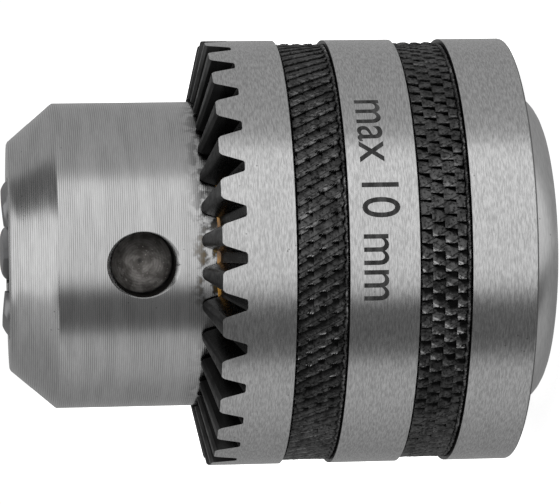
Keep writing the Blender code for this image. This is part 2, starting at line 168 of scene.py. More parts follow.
def colour(value: float | Sequence[float]) -> tuple[float, float, float, float]:
    """A grey level or a colour as a socket's four numbers."""
    if isinstance(value, (int, float)):
        return (value, value, value, 1.0)
    return (*value, 1.0)


class ShaderGroup:
    """A node group shared by several finishes, built the first time it is asked for."""

    name = ""
    inputs: dict[str, float] = {}
    outputs: tuple[str, ...] = ()

    def tree(self) -> bpy.types.NodeTree:
        """The group's node tree."""
        made = bpy.data.node_groups.get(self.name)
        if made:
            return made
        made = bpy.data.node_groups.new(self.name, "ShaderNodeTree")
        for name, default in self.inputs.items():
            socket = made.interface.new_socket(name, in_out="INPUT", socket_type="NodeSocketFloat")
            socket.default_value = default
        for name in self.outputs:
            made.interface.new_socket(name, in_out="OUTPUT", socket_type="NodeSocketFloat")
        graph = Graph(made)
        given = graph.tree.nodes.new("NodeGroupInput")
        result = graph.tree.nodes.new("NodeGroupOutput")
        for name, socket in self.fill(graph, given).items():
            made.links.new(socket, result.inputs[name])
        return made

    def fill(self, graph: Graph, given: bpy.types.Node) -> dict[str, Socket]:
        """Makes the group's nodes.

        Args:
            graph: the tree to fill.
            given: the group's input node.

        Returns:
            Output name to the socket that feeds it.
        """
        raise NotImplementedError

    def place(self, graph: Graph, **values: float | Socket) -> bpy.types.Node:
        """Puts the group in a material with its own values; a name's underscores stand for spaces."""
        node = graph.tree.nodes.new("ShaderNodeGroup")
        node.node_tree = self.tree()
        graph.feed(node, {name.replace("_", " "): value for name, value in values.items()})
        return node


class CutterLines(ShaderGroup):
    """The fine rings that a lathe tool or a grinding wheel leaves round a part."""

    name = "cutter_lines"
    inputs = {"Pitch": 0.0002, "Waver": 1.0, "Patchiness": 0.5}
    outputs = ("Height",)

    def fill(self, graph: Graph, given: bpy.types.Node) -> dict[str, Socket]:
        """Rings by height along the axis, broken up by long streaks."""
        where = graph.where()
        streaks = graph.noise(graph.vector("MULTIPLY", where, (90, 90, 2600)), 1.0, 3.0)
        patches = graph.noise(graph.vector("MULTIPLY", where, (160, 160, 900)), 1.0, 2.0)
        turns = graph.math("DIVIDE", graph.parts(where)["Z"], given.outputs["Pitch"])
        waver = graph.math("MULTIPLY", streaks, given.outputs["Waver"])
        ring = graph.wave(graph.math("ADD", turns, waver))
        patch = graph.spread(patches, 0.35, 0.65, 0.0, 1.0)
        faded = graph.math("SUBTRACT", 1.0, graph.math("MULTIPLY", patch, given.outputs["Patchiness"]))
        return {"Height": graph.math("MULTIPLY", ring, faded)}


class Grain(ShaderGroup):
    """Short scratches that run round the axis, as a fine wheel or belt leaves them."""

    name = "grain"
    inputs = {"Length": 1.0, "Fineness": 1.0}
    outputs = ("Fine", "Broad")

    def fill(self, graph: Graph, given: bpy.types.Node) -> dict[str, Socket]:
        """Two noises stretched round the axis."""
        where = graph.where()
        found = {}
        for name, around, along in (("Fine", 900.0, 9000.0), ("Broad", 260.0, 2600.0)):
            across = graph.math("DIVIDE", around, given.outputs["Length"])
            up = graph.math("MULTIPLY", along, given.outputs["Fineness"])
            size = graph.add("CombineXYZ", {0: across, 1: across, 2: up}).outputs[0]
            found[name] = graph.noise(graph.vector("MULTIPLY", where, size), 1.0, 2.0, Roughness=0.6)
        return found


class Handling(ShaderGroup):
    """Oil smears, tiny nicks and dust pits from handling."""

    name = "handling"
    inputs = {"Size": 1.0}
    outputs = ("Smear", "Nicks")

    def fill(self, graph: Graph, given: bpy.types.Node) -> dict[str, Socket]:
        """Soft blotches, and sparse small cells."""
        inputs = {0: graph.where(), "Scale": given.outputs["Size"]}
        scaled = graph.add("VectorMath", inputs, operation="SCALE").outputs[0]
        cells = graph.add("TexVoronoi", {"Vector": scaled, "Scale": 1300.0}).outputs["Distance"]
        spots = graph.spread(cells, 0.06, 0.16, 1.0, 0.0)
        chosen = graph.spread(graph.noise(scaled, 380.0, 1.0), 0.62, 0.68, 0.0, 1.0)
        return {"Smear": graph.noise(scaled, 130.0, 4.0), "Nicks": graph.math("MULTIPLY", spots, chosen)}


class PressedLines(ShaderGroup):
    """The faint lines that a knurling wheel leaves across the scales, from pit to pit."""

    name = "pressed_lines"
    inputs = {"Rows": 96.0, "Column": 0.0012, "Slant": 0.5, "Width": 0.09}
    outputs = ("Line",)

    def fill(self, graph: Graph, given: bpy.types.Node) -> dict[str, Socket]:
        """Slanted stripes by angle and height."""
        where = graph.where()
        parts = graph.parts(where)
        turn = graph.math("DIVIDE", graph.math("ARCTAN2", parts["Y"], parts["X"]), 2 * math.pi)
        along = graph.math("DIVIDE", parts["Z"], given.outputs["Column"])
        slant = graph.math("MULTIPLY", along, given.outputs["Slant"])
        place = graph.math("ADD", graph.math("MULTIPLY", turn, given.outputs["Rows"]), slant)
        wander = graph.math("MULTIPLY", graph.noise(where, 1500.0, 2.0), 0.12)
        place = graph.math("FRACT", graph.math("ADD", place, wander))
        off = graph.math("ABSOLUTE", graph.math("SUBTRACT", place, 0.5))
        share = graph.math("DIVIDE", off, given.outputs["Width"])
        return {"Line": graph.math("SUBTRACT", 1.0, share, clamp=True)}


class DrillRings(ShaderGroup):
    """Rings that a drill leaves on the floor and wall of the three key holes."""

    name = "drill_rings"
    inputs = {"Pitch": 0.00025}
    outputs = ("Height", "Reach")

    def fill(self, graph: Graph, given: bpy.types.Node) -> dict[str, Socket]:
        """Rings by the distance from the nearest key hole's middle line, and that distance."""
        where = graph.where()
        nearest: Socket | None = None
        for angle in KEY_HOLE_ANGLES:
            out = (math.cos(angle), math.sin(angle), 0.0)
            local = graph.vector("SUBTRACT", where, (0.0, 0.0, at_depth(KEY_HOLE_DEPTH)))
            along = graph.length("DOT_PRODUCT", local, out)
            line = graph.add("VectorMath", {0: out, "Scale": along}, operation="SCALE").outputs[0]
            behind = graph.math("LESS_THAN", along, 0.0)
            off = graph.math("ADD", graph.length("DISTANCE", local, line), behind)
            nearest = off if nearest is None else graph.math("MINIMUM", nearest, off)
        return {"Height": graph.wave(graph.math("DIVIDE", nearest, given.outputs["Pitch"])), "Reach": nearest}


CUTTER_LINES = CutterLines()
PRESSED_LINES = PressedLines()
GRAIN = Grain()
HANDLING = Handling()
DRILL_RINGS = DrillRings()


# ---------------------------------------------------------------------------------------------
# Finishes
# ---------------------------------------------------------------------------------------------


def shader_of(name: str) -> tuple[bpy.types.Material, Graph, bpy.types.Node]:
    """A new material with its Principled BSDF joined to the output.

    Args:
        name: the material's name.

    Returns:
        The material, its graph and the shader node.
    """
    material = bpy.data.materials.new(name)
    material.use_nodes = True
    graph = Graph(material.node_tree)
    shader = graph.add("BsdfPrincipled")
    graph.add("OutputMaterial", {"Surface": shader.outputs[0]})
    return material, graph, shader


class Finish:
    """A finish with one material of its own name."""

    name: str

    def material(self) -> bpy.types.Material:
        """Builds the material from the finish's inputs."""
        material, graph, shader = shader_of(self.name)
        inputs = self.inputs(graph)
        if "Height" in inputs:
            bump = graph.add("Bump", {"Height": inputs.pop("Height"), "Distance": 1.0})
            inputs["Normal"] = bump.outputs[0]
        graph.feed(shader, inputs)
        return material

    def inputs(self, graph: Graph) -> dict[str, object]:
        """Makes the finish's nodes.

        Args:
            graph: the material's tree.

        Returns:
            Shader input name to its value or socket; Height, in metres, feeds the bump.
        """
        raise NotImplementedError


@dataclass(frozen=True)
class CutSteel(Finish):
    """Bare steel with the rings of a lathe tool or a grinding wheel on it."""

    name: str
    tone: float
    roughness: float
    ring_pitch: float
    ring_contrast: float
    ring_height: float
    grain_contrast: float
    grain_height: float
    grain_length: float = 1.0
    anisotropy: float = 0.6
    stain: float = 0.0

    def inputs(self, graph: Graph) -> dict[str, object]:
        """Grain and rings in the colour and the height, with a few nicks."""
        rings = CUTTER_LINES.place(graph, Pitch=self.ring_pitch, Waver=0.12, Patchiness=0.55).outputs["Height"]
        grain = GRAIN.place(graph, Length=self.grain_length, Fineness=1.0).outputs
        marks = HANDLING.place(graph, Size=1.0).outputs
        share = graph.spread(grain["Fine"], 0.3, 0.7, 0.0, 1.0)
        dark, light = self.tone * (1 - self.grain_contrast), self.tone * (1 + self.grain_contrast)
        base = graph.blend(share, colour(dark), colour(light))
        base = graph.blend(graph.math("MULTIPLY", rings, self.ring_contrast), base, colour(0.02))
        base = graph.blend(graph.math("MULTIPLY", marks["Nicks"], 0.6), base, colour(0.08))
        if self.stain:
            base = self.stained(graph, base, marks["Smear"])
        rough = graph.spread(marks["Smear"], 0.3, 0.7, self.roughness * 0.88, self.roughness * 1.15)
        fine = graph.spread(grain["Broad"], 0.3, 0.7, -0.02, 0.03)
        height = graph.math("MULTIPLY", rings, -self.ring_height)
        height = graph.math("ADD", height, graph.math("MULTIPLY", grain["Fine"], self.grain_height))
        height = graph.math("SUBTRACT", height, graph.math("MULTIPLY", marks["Nicks"], 0.004 * MM))
        return {"Base Color": base, "Roughness": graph.math("ADD", rough, fine), "Height": height,
                "Metallic": 1.0, "Anisotropic": self.anisotropy, "Anisotropic Rotation": 0.25}

    def stained(self, graph: Graph, base: Socket, smear: Socket) -> Socket:
        """Dark speckles on the nose by the joint between nose and sleeve, and oil creeping out of it on one
        side.

        Args:
            graph: the material's tree.
            base: the clean colour.
            smear: the handling marks' broad blotches.

        Returns:
            The stained colour.
        """
        where = graph.where()
        parts = graph.parts(where)
        fleck = graph.noise(where, 1100.0, 4.0)
        close = graph.spread(parts["Z"], at_depth(19.4 * MM), at_depth(16.4 * MM), 1.0, 0.0)
        # darker in speckles from 16.4 mm behind the nose face back towards and under the sleeve's teeth
        dark_speckles = graph.product(close, graph.spread(fleck, 0.42, 0.56, 0.0, 1.0),
                               graph.spread(smear, 0.36, 0.50, 0.2, 1.0), 0.95)
        base = graph.blend(dark_speckles, base, colour(0.02))
        oil = graph.product(close, graph.spread(parts["X"], -5.0 * MM, -1.0 * MM, 0.0, 1.0),
                            graph.spread(parts["X"], 1.0 * MM, 4.5 * MM, 1.0, 0.0),
                            graph.spread(fleck, 0.50, 0.62, 0.0, 1.0),
                            graph.spread(parts["Y"], 0.0, -8 * MM, 0.0, 1.0), self.stain)
        return graph.blend(oil, base, colour((0.12, 0.08, 0.025)))


@dataclass(frozen=True)
class DrilledSteel(Finish):
    """The dark, scored steel of a drilled hole, with grit on its floor."""

    name: str = "drilled_steel"
    ring_pitch: float = 0.26 * MM
    wall_reach: tuple[float, float] = (2.86 * MM, 3.02 * MM)

    def inputs(self, graph: Graph) -> dict[str, object]:
        """Scored rings and a dark middle on the floor, and a wall painted nearly black as painted shade."""
        rings = DRILL_RINGS.place(graph, Pitch=self.ring_pitch).outputs
        where = graph.where()
        grit, mottle = graph.noise(where, 4200.0, 3.0), graph.noise(where, 900.0, 3.0)
        scored = graph.math("MULTIPLY", rings["Height"], graph.spread(mottle, 0.4, 0.62, 0.03, 0.2))
        share = graph.math("ADD", scored, graph.spread(mottle, 0.35, 0.65, 0.0, 0.55))
        base = graph.blend(share, colour((0.12, 0.112, 0.105)), colour((0.36, 0.345, 0.33)))
        base = graph.blend(graph.spread(grit, 0.64, 0.72, 0.0, 1.0), base, colour((0.5, 0.48, 0.45)))
        base = graph.blend(graph.spread(rings["Reach"], 0.0, 0.5 * MM, 0.75, 0.0), base, colour(0.02))
        # painted shade: the hole's wall, from wall_reach out, is painted nearly black
        base = graph.blend(graph.spread(rings["Reach"], *self.wall_reach, 0.0, 0.93), base, colour(0.006))
        height = graph.math("MULTIPLY", rings["Height"], 0.003 * MM)
        height = graph.math("ADD", height, graph.math("MULTIPLY", grit, 0.03 * MM))
        return {"Base Color": base, "Height": height, "Metallic": 0.9, "Roughness": 0.4}


@dataclass(frozen=True)
class SmoothSteel(Finish):
    """Finely finished or hardened steel without strong rings."""

    name: str
    tone: tuple[float, float, float]
    roughness: float
    grain_height: float

    def inputs(self, graph: Graph) -> dict[str, object]:
        """A soft grain, uneven gloss and a few nicks."""
        grain = GRAIN.place(graph, Length=1.5, Fineness=0.8).outputs
        marks = HANDLING.place(graph, Size=1.3).outputs
        light = tuple(min(1.0, part * 1.15) for part in self.tone)
        share = graph.spread(grain["Broad"], 0.3, 0.7, 0.0, 1.0)
        base = graph.blend(share, colour(self.tone), colour(light))
        base = graph.blend(graph.math("MULTIPLY", marks["Nicks"], 0.5), base, colour(0.08))
        rough = graph.spread(marks["Smear"], 0.3, 0.7, self.roughness * 0.85, self.roughness * 1.2)
        height = graph.math("MULTIPLY", grain["Fine"], self.grain_height)
        return {"Base Color": base, "Roughness": rough, "Height": height, "Metallic": 1.0}


@dataclass(frozen=True)
class BlackOxide(Finish):
    """Hot-blackened steel with painted shade, dead black, in its pits, and rubbed bare on its sharpest crests.
    """

    name: str
    deep: float
    flat: float
    bare: float
    roughness: float
    pit_radius: float
    flat_radius: float
    crest_radius: float
    lines: float = 0.0

    def inputs(self, graph: Graph) -> dict[str, object]:
        """Darker nearer the axis as painted shade in the pits, broken up by grain, smears and rubbed crests."""
        where = graph.where()
        parts = graph.parts(where)
        across = graph.add("CombineXYZ", {0: parts["X"], 1: parts["Y"]}).outputs[0]
        radius = graph.length("LENGTH", across)
        # painted shade: places below pit_radius take the deep black
        raised = graph.spread(radius, self.pit_radius, self.flat_radius, 0.0, 1.0)
        crest = graph.spread(radius, self.flat_radius, self.crest_radius, 0.0, 1.0)
        grain = GRAIN.place(graph, Length=0.5, Fineness=0.6).outputs
        smear = HANDLING.place(graph, Size=2.0).outputs["Smear"]
        scratched = graph.math("MULTIPLY", raised, graph.spread(grain["Broad"], 0.35, 0.65, 0.55, 1.25))
        flat = graph.math("MULTIPLY", scratched, graph.spread(smear, 0.35, 0.65, 0.75, 1.2), clamp=True)
        base = graph.blend(flat, colour(self.deep), colour(self.flat))
        bare = graph.math("MULTIPLY", crest, graph.spread(smear, 0.40, 0.58, 0.15, 1.0))
        base = graph.blend(bare, base, colour(self.bare))
        height = graph.math("MULTIPLY", grain["Broad"], 0.010 * MM)
        if self.lines:
            base, height = self.pressed(graph, where, base, height)
        rough = graph.spread(grain["Fine"], 0.3, 0.7, self.roughness * 0.8, self.roughness * 1.2)
        return {"Base Color": base, "Roughness": rough, "Height": height, "Metallic": 0.9}

    def pressed(self, graph: Graph, where: Socket, base: Socket, height: Socket) -> tuple[Socket, Socket]:
        """Adds the knurling wheel's lines and a coarse grit to the colour and the height; the lines' grooves get
        painted shade.
        """
        rising = PRESSED_LINES.place(graph, Width=0.08).outputs["Line"]
        falling = PRESSED_LINES.place(graph, Width=0.06, Slant=-0.5).outputs["Line"]
        lines = graph.math("MAXIMUM", rising, graph.math("MULTIPLY", falling, 0.5))
        # painted shade: the pressed grooves are darkened towards the pits' black
        base = graph.blend(graph.math("MULTIPLY", lines, self.lines), base, colour(self.deep))
        height = graph.math("SUBTRACT", height, graph.math("MULTIPLY", lines, 0.04 * MM))
        grit = graph.noise(where, 3600.0, 3.0)
        height = graph.math("ADD", height, graph.math("MULTIPLY", grit, 0.06 * MM))
        return graph.blend(graph.spread(grit, 0.36, 0.5, 0.75, 0.0), base, colour(self.deep)), height


@dataclass(frozen=True)
class Grease(Finish):
    """A clear amber grease, glossy and a little see-through in its colour."""

    name: str = "amber_grease"

    def inputs(self, graph: Graph) -> dict[str, object]:
        """Thick and thin blots under a clear coat."""
        smear = HANDLING.place(graph, Size=2.0).outputs["Smear"]
        share = graph.spread(smear, 0.35, 0.65, 0.0, 1.0)
        base = graph.blend(share, colour((0.10, 0.035, 0.002)), colour((0.62, 0.30, 0.03)))
        return {"Base Color": base, "Height": graph.math("MULTIPLY", smear, 0.05 * MM), "Roughness": 0.18,
                "Metallic": 0.35, "Coat Weight": 1.0, "Coat Roughness": 0.08}


@dataclass(frozen=True)
class Etching(Finish):
    """Black electro-etched marking, matt and a little uneven."""

    name: str = "etched_black"

    def inputs(self, graph: Graph) -> dict[str, object]:
        """A matt black broken up by the steel's grain."""
        grain = GRAIN.place(graph, Length=0.6, Fineness=0.7).outputs
        share = graph.spread(grain["Broad"], 0.35, 0.75, 0.0, 1.0)
        rough = graph.spread(grain["Fine"], 0.3, 0.7, 0.55, 0.75)
        return {"Base Color": graph.blend(share, colour(0.012), colour(0.045)), "Roughness": rough,
                "Specular IOR Level": 0.3}


class Finishes:
    """Every finish of the chuck, each built once."""

    def __init__(self) -> None:
        """Builds the materials."""
        self.turned = CutSteel("turned_steel", 0.64, 0.20, 0.2 * MM, 0.42, 0.0025 * MM, 0.05, 0.0006 * MM,
                               stain=0.85).material()
        self.ground = CutSteel("ground_steel", 0.58, 0.22, 0.09 * MM, 0.05, 0.0003 * MM, 0.22,
                               0.0016 * MM, grain_length=0.6).material()
        self.boss = CutSteel("satin_steel", 0.62, 0.34, 0.12 * MM, 0.06, 0.0004 * MM, 0.08, 0.0008 * MM,
                             anisotropy=0.75).material()
        self.jaw = SmoothSteel("hardened_steel", (0.26, 0.26, 0.265), 0.34, 0.0015 * MM).material()
        self.nut = SmoothSteel("oiled_steel", (0.36, 0.36, 0.35), 0.35, 0.002 * MM).material()
        self.bearing = SmoothSteel("bearing_steel", (0.62, 0.62, 0.63), 0.12, 0.0003 * MM).material()
        self.brass = SmoothSteel("cage_brass", (0.62, 0.43, 0.17), 0.3, 0.0015 * MM).material()
        # the bore steel also serves as painted shade on the boss strip next to the sleeve's rear face
        self.bore = SmoothSteel("bore_steel_and_painted_shade", (0.20, 0.20, 0.20), 0.42, 0.003 * MM).material()
        self.drilled = DrilledSteel().material()
        self.knurl = BlackOxide("blackened_knurl", 0.003, 0.105, 0.42, 0.42, 20.64 * MM, 20.84 * MM,
                                20.925 * MM, lines=0.6).material()
        self.tooth_tops = BlackOxide("blackened_tooth_tops", 0.007, 0.024, 0.05, 0.42, 14.0 * MM, 18.0 * MM,
                                     21.3 * MM).material()
        # painted shade: the gaps between the teeth get a darker copy of the tooth tops' black oxide
        self.tooth_gaps = BlackOxide("blackened_tooth_gaps_painted_shade", 0.003, 0.009, 0.022, 0.30, 14.0 * MM, 20.0 * MM,
                                     21.3 * MM).material()
        self.grease = Grease().material()
        self.etching = Etching().material()


# ---------------------------------------------------------------------------------------------
# Mesh shaping
# ---------------------------------------------------------------------------------------------


def mesh_from(name: str, shape: bmesh.types.BMesh) -> bpy.types.Mesh:
    """A mesh from a finished bmesh, which is freed."""
    mesh = bpy.data.meshes.new(name)
    shape.to_mesh(mesh)
    shape.free()
    return mesh


def new_object(name: str, mesh: bpy.types.Mesh, matrix: Matrix | None = None) -> bpy.types.Object:
    """An object in the scene."""
    made = bpy.data.objects.new(name, mesh)
    made.matrix_world = matrix or Matrix()
    bpy.context.scene.collection.objects.link(made)
    return made


def arc(centre: Point, radius: float, start: float, end: float, steps: int = 6) -> list[Point]:
    """Points of a round corner in the half plane of radius and height.

    Args:
        centre: the arc's centre.
        radius: its radius.
        start: first angle in degrees, from the outward direction.
        end: last angle in degrees.
        steps: number of straight pieces.

    Returns:
        The points, ends included.
    """
    angles = [math.radians(start + (end - start) * step / steps) for step in range(steps + 1)]
    return [(centre[0] + radius * math.cos(a), centre[1] + radius * math.sin(a)) for a in angles]


def fill_in(points: Sequence[Point], longest: float) -> list[Point]:
    """The same outline with extra points so that no piece is longer than this."""
    made = [points[0]]
    for one, two in zip(points, points[1:]):
        count = max(1, math.ceil(math.dist(one, two) / longest))
        made += [(one[0] + (two[0] - one[0]) * i / count, one[1] + (two[1] - one[1]) * i / count)
                 for i in range(1, count + 1)]
    return made


def on_circle(radius: float, angle: float, height: float) -> Vector:
    """A place by its distance from the axis, its angle round it and its height."""
    return Vector((radius * math.cos(angle), radius * math.sin(angle), height))


def outward(spot: Vector) -> Vector:
    """The direction from the axis to a place."""
    return Vector((spot.x, spot.y, 0)).normalized()


def turned(name: str, outline: Sequence[Point], steps: int, closed: bool) -> bpy.types.Mesh:
    """A turned solid.

    Args:
        name: the mesh's name.
        outline: radius and height pairs, clockwise when closed; an open one starts and ends on the axis.
        steps: facets round the axis.
        closed: True for a ring whose outline joins up.

    Returns:
        The closed mesh.
    """
    shape = bmesh.new()
    rows = []
    for radius, height in outline:
        if radius < ON_AXIS:
            rows.append([shape.verts.new((0, 0, height))] * steps)
        else:
            rows.append([shape.verts.new(on_circle(radius, 2 * math.pi * i / steps, height))
                         for i in range(steps)])
    pairs = list(zip(rows, rows[1:])) + ([(rows[-1], rows[0])] if closed else [])
    for one, two in pairs:
        for i in range(steps):
            corners = [one[i], one[(i + 1) % steps], two[(i + 1) % steps], two[i]]
            shape.faces.new(list(dict.fromkeys(corners)))
    bmesh.ops.recalc_face_normals(shape, faces=shape.faces)
    return mesh_from(name, shape)


def loft(shape: bmesh.types.BMesh, sections: Sequence[Sequence[Vector]]) -> None:
    """Joins equal sections by faces and closes both ends."""
    rows = [[shape.verts.new(point) for point in section] for section in sections]
    for one, two in zip(rows, rows[1:]):
        for i in range(len(one)):
            j = (i + 1) % len(one)
            shape.faces.new((one[i], one[j], two[j], two[i]))
    shape.faces.new(rows[0])
    shape.faces.new(rows[-1])


def cylinder(name: str, radius: float, length: float, segments: int) -> bpy.types.Mesh:
    """A closed cylinder up from the origin, a cutter."""
    shape = bmesh.new()
    bmesh.ops.create_cone(shape, cap_ends=True, segments=segments, radius1=radius, radius2=radius,
                          depth=length, matrix=Matrix.Translation((0, 0, length / 2)))
    return mesh_from(name, shape)


def combine(piece: bpy.types.Object, cutters: Iterable[bpy.types.Object], operation: str = "DIFFERENCE") -> None:
    """Cuts the piece by each cutter, in order, for good, and removes the cutters.

    Args:
        piece: the object to cut.
        cutters: closed objects.
        operation: DIFFERENCE or INTERSECT.
    """
    cutters = list(cutters)
    for cutter in cutters:
        modifier = piece.modifiers.new("cut", "BOOLEAN")
        modifier.operation = operation
        modifier.solver = "EXACT"
        modifier.object = cutter
    bake_modifiers(piece)
    for cutter in cutters:
        bpy.data.objects.remove(cutter, do_unlink=True)


def bake_modifiers(piece: bpy.types.Object) -> None:
    """Makes the piece's modifiers part of its mesh."""
    bpy.context.view_layer.update()
    graph = bpy.context.evaluated_depsgraph_get()
    mesh = bpy.data.meshes.new_from_object(piece.evaluated_get(graph), depsgraph=graph)
    piece.modifiers.clear()
    piece.data = mesh


def ease_edges(piece: bpy.types.Object, width: float, segments: int = 2, angle: float = 30.0) -> None:
    """Rounds the piece's sharp edges a little, by a modifier."""
    modifier = piece.modifiers.new("eased_edges", "BEVEL")
    modifier.width = width
    modifier.segments = segments
    modifier.limit_method = "ANGLE"
    modifier.angle_limit = math.radians(angle)


def shade(piece: bpy.types.Object, angle: float = 32.0) -> None:
    """Shades the piece smooth, with its edges kept."""
    piece.data.shade_smooth()
    piece.data.set_sharp_from_angle(angle=math.radians(angle))


def paint(piece: bpy.types.Object, materials: Sequence[bpy.types.Material],
          choose: Callable[[bpy.types.MeshPolygon], int] | None = None) -> None:
    """Gives the piece its materials.

    Args:
        piece: the object.
        materials: its finishes, in order.
        choose: picks a finish's number for each face; the first when left out.
    """
    piece.data.materials.clear()
    for material in materials:
        piece.data.materials.append(material)
    for face in piece.data.polygons:
        face.material_index = choose(face) if choose else 0


def true_round(piece: bpy.types.Object, radius: float, low: float, high: float) -> None:
    """Gives the faces of one cylinder exact radial normals, so that cuts in it don't show in its gloss.

    Args:
        piece: the object, already shaded.
        radius: the cylinder's radius.
        low: lowest height of the cylinder.
        high: highest height of the cylinder.
    """
    mesh = piece.data
    normals = [Vector(corner.vector) for corner in mesh.corner_normals]
    for face in mesh.polygons:
        centre = face.center
        if face.normal.dot(outward(centre)) < 0.999 or not low < centre.z < high:
            continue
        for index in face.loop_indices:
            spot = mesh.vertices[mesh.loops[index].vertex_index].co
            if abs(math.hypot(spot.x, spot.y) - radius) < 0.01 * MM:
                normals[index] = outward(spot)
    mesh.normals_split_custom_set(normals)


def finish_piece(piece: bpy.types.Object, body: str, slot: str, *nodes: str) -> None:
    """Joins a made piece to the frame.

    Args:
        piece: the object.
        body: the CAD body it moves with.
        slot: a material slot's name; not used.
        nodes: the CAD nodes it stands for.
    """
    if nodes:
        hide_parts(*nodes)
    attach(piece, body)
    LOG.info("%s: %d faces on %s", piece.name, len(piece.data.polygons), body)


def turn_about_axis(angle: float) -> Matrix:
    """A turn about the chuck's axis."""
    return Matrix.Rotation(angle, 4, "Z")


# ---------------------------------------------------------------------------------------------
# Sub-assemblies
# ---------------------------------------------------------------------------------------------


@dataclass
class ChuckBody:
    """The turned body: nose, cone, key holes, jaw bores, rear flange and boss."""

    finishes: Finishes
    nose_face_radius: float = 11.3 * MM
    radius: float = 15.2 * MM
    cone_length: float = 4.5 * MM
    bore_radius: float = 5.3 * MM
    bore_depth: float = 27.0 * MM
    groove_front: float = 23.0 * MM
    boss_radius: float = 16.1 * MM
    boss_length: float = 3.8 * MM
    boss_edge: float = 3.7 * MM
    socket_mouth: float = 6.03 * MM
    socket_depth: float = 18.5 * MM
    jaw_bore_radius: float = 3.15 * MM
    key_hole_radius: float = 3.1 * MM
    key_hole_sink: float = 0.3 * MM
    key_hole_depth: float = 4.6 * MM
    drill_point: float = math.radians(59)
    neck_radius: float = 12.8 * MM
    flange_front: float = 21.5 * MM
    seat_radius: float = 16.15 * MM
    shoulder: float = 20.2 * MM
    steps: int = 240

    def outline(self) -> list[Point]:
        """Half section, from the drill bore's floor over the nose and down to the socket."""
        ease = 0.12 * MM
        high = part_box("chuck_body")[1]
        groove = at_depth(self.groove_front)
        floor = at_depth(self.bore_depth) + 1.2 * MM
        points = [(0.0, floor), (self.bore_radius, floor),
                  (self.bore_radius, AXIS_LENGTH - 0.3 * MM), (self.bore_radius + 0.3 * MM, AXIS_LENGTH),
                  (self.nose_face_radius - ease, AXIS_LENGTH),
                  (self.nose_face_radius + ease, AXIS_LENGTH - ease),
                  (self.radius - ease, at_depth(self.cone_length - ease)),
                  (self.radius, at_depth(self.cone_length + 0.6 * ease)),
                  (self.radius, groove), (self.neck_radius, groove), (self.neck_radius, self.flange_front),
                  (self.seat_radius, self.flange_front), (self.seat_radius, self.shoulder),
                  (high.x, self.shoulder), (high.x, self.boss_length + ease),
                  (high.x - ease, self.boss_length), (self.boss_radius + 0.3 * MM, self.boss_length),
                  (self.boss_radius, self.boss_length)]
        points += arc((self.boss_radius - self.boss_edge, self.boss_edge), self.boss_edge, 0, -90, 10)
        taper = self.socket_mouth - self.socket_depth * SOCKET_TAPER / 2
        points += [(self.socket_mouth + 0.4 * MM, 0.0), (self.socket_mouth, 0.4 * MM),
                   (taper, self.socket_depth), (0.0, self.socket_depth)]
        return fill_in(points, 1.0 * MM)

    def key_hole(self) -> bpy.types.Mesh:
        """Cutter for a key hole: a drilled blind hole with a small countersink; local Z points outwards."""
        point = self.key_hole_radius / math.tan(self.drill_point)
        rim = self.radius - math.sqrt(self.radius ** 2 - self.key_hole_radius ** 2)
        mouth = point + self.key_hole_depth
        sink = mouth - rim / 2 - self.key_hole_sink
        past = 3 * MM
        outline = [(0.0, mouth + past), (self.key_hole_radius + self.key_hole_sink + past, mouth + past),
                   (self.key_hole_radius, sink), (self.key_hole_radius, point), (0.0, 0.0)]
        return turned("key_hole", outline, 96, closed=False)

    def cutters(self) -> list[bpy.types.Object]:
        """Cutters for the three jaw bores and the three key holes."""
        made = []
        bore = cylinder("jaw_bore", self.jaw_bore_radius, 60 * MM, 72)
        hole = self.key_hole()
        mouth = self.key_hole_depth + self.key_hole_radius / math.tan(self.drill_point)
        spot = Matrix.Translation((self.radius - mouth, 0, at_depth(KEY_HOLE_DEPTH)))
        tip_over = Matrix.Rotation(math.pi / 2, 4, "Y")
        for number, (azimuth, angle) in enumerate(zip(JAW_AZIMUTHS, KEY_HOLE_ANGLES), 1):
            made.append(new_object(f"bore_{number}", bore, JawSet.place(azimuth, 4.6 * MM)))
            made.append(new_object(f"hole_{number}", hole, turn_about_axis(angle) @ spot @ tip_over))
        return made

    def finish_of(self, face: bpy.types.MeshPolygon) -> int:
        """Picks a face's finish.

        Args:
            face: the face.

        Returns:
            0 for turned steel, 1 for the satin boss, 2 for the dark bores and painted shade on the boss, 3 for
            the key holes.
        """
        spot = face.center
        radius, facing = math.hypot(spot.x, spot.y), face.normal.dot(outward(spot))
        if spot.z < self.boss_length + 0.05 * MM and radius > self.socket_mouth + 0.2 * MM:
            # painted shade: the boss's top strip next to the sleeve's rear face gets the dark bore steel (2)
            return 2 if spot.z > 3.12 * MM and radius > self.boss_radius - 0.2 * MM else 1
        if radius > self.radius - 0.03 * MM and facing > 0.99:
            return 0
        if radius > self.radius - 7 * MM and abs(spot.z - at_depth(KEY_HOLE_DEPTH)) < 3.8 * MM:
            return 0 if radius > self.radius - 0.7 * MM and facing > 0.3 else 3
        on_nose = spot.z > at_depth(self.cone_length) and radius > self.bore_radius + 0.05 * MM
        return 0 if on_nose and face.normal.z > 0.4 else 2

    def build(self) -> None:
        """Builds and dresses the body."""
        shape = turned("chuck_body_turned", self.outline(), self.steps, False)
        piece = new_object("chuck_body_turned", shape)
        combine(piece, self.cutters())
        ease_edges(piece, 0.07 * MM, 2, 38)
        bake_modifiers(piece)
        shade(piece)
        finishes = self.finishes
        paint(piece, (finishes.turned, finishes.boss, finishes.bore, finishes.drilled), self.finish_of)
        true_round(piece, self.radius, at_depth(self.groove_front), at_depth(self.cone_length))
        finish_piece(piece, "chuck_body", "turned_steel", "chuck_body")


class KnurlStyle(Enum):
    """How a band's scales are pressed."""

    SCALES = "scales"
    RIDGES = "ridges"


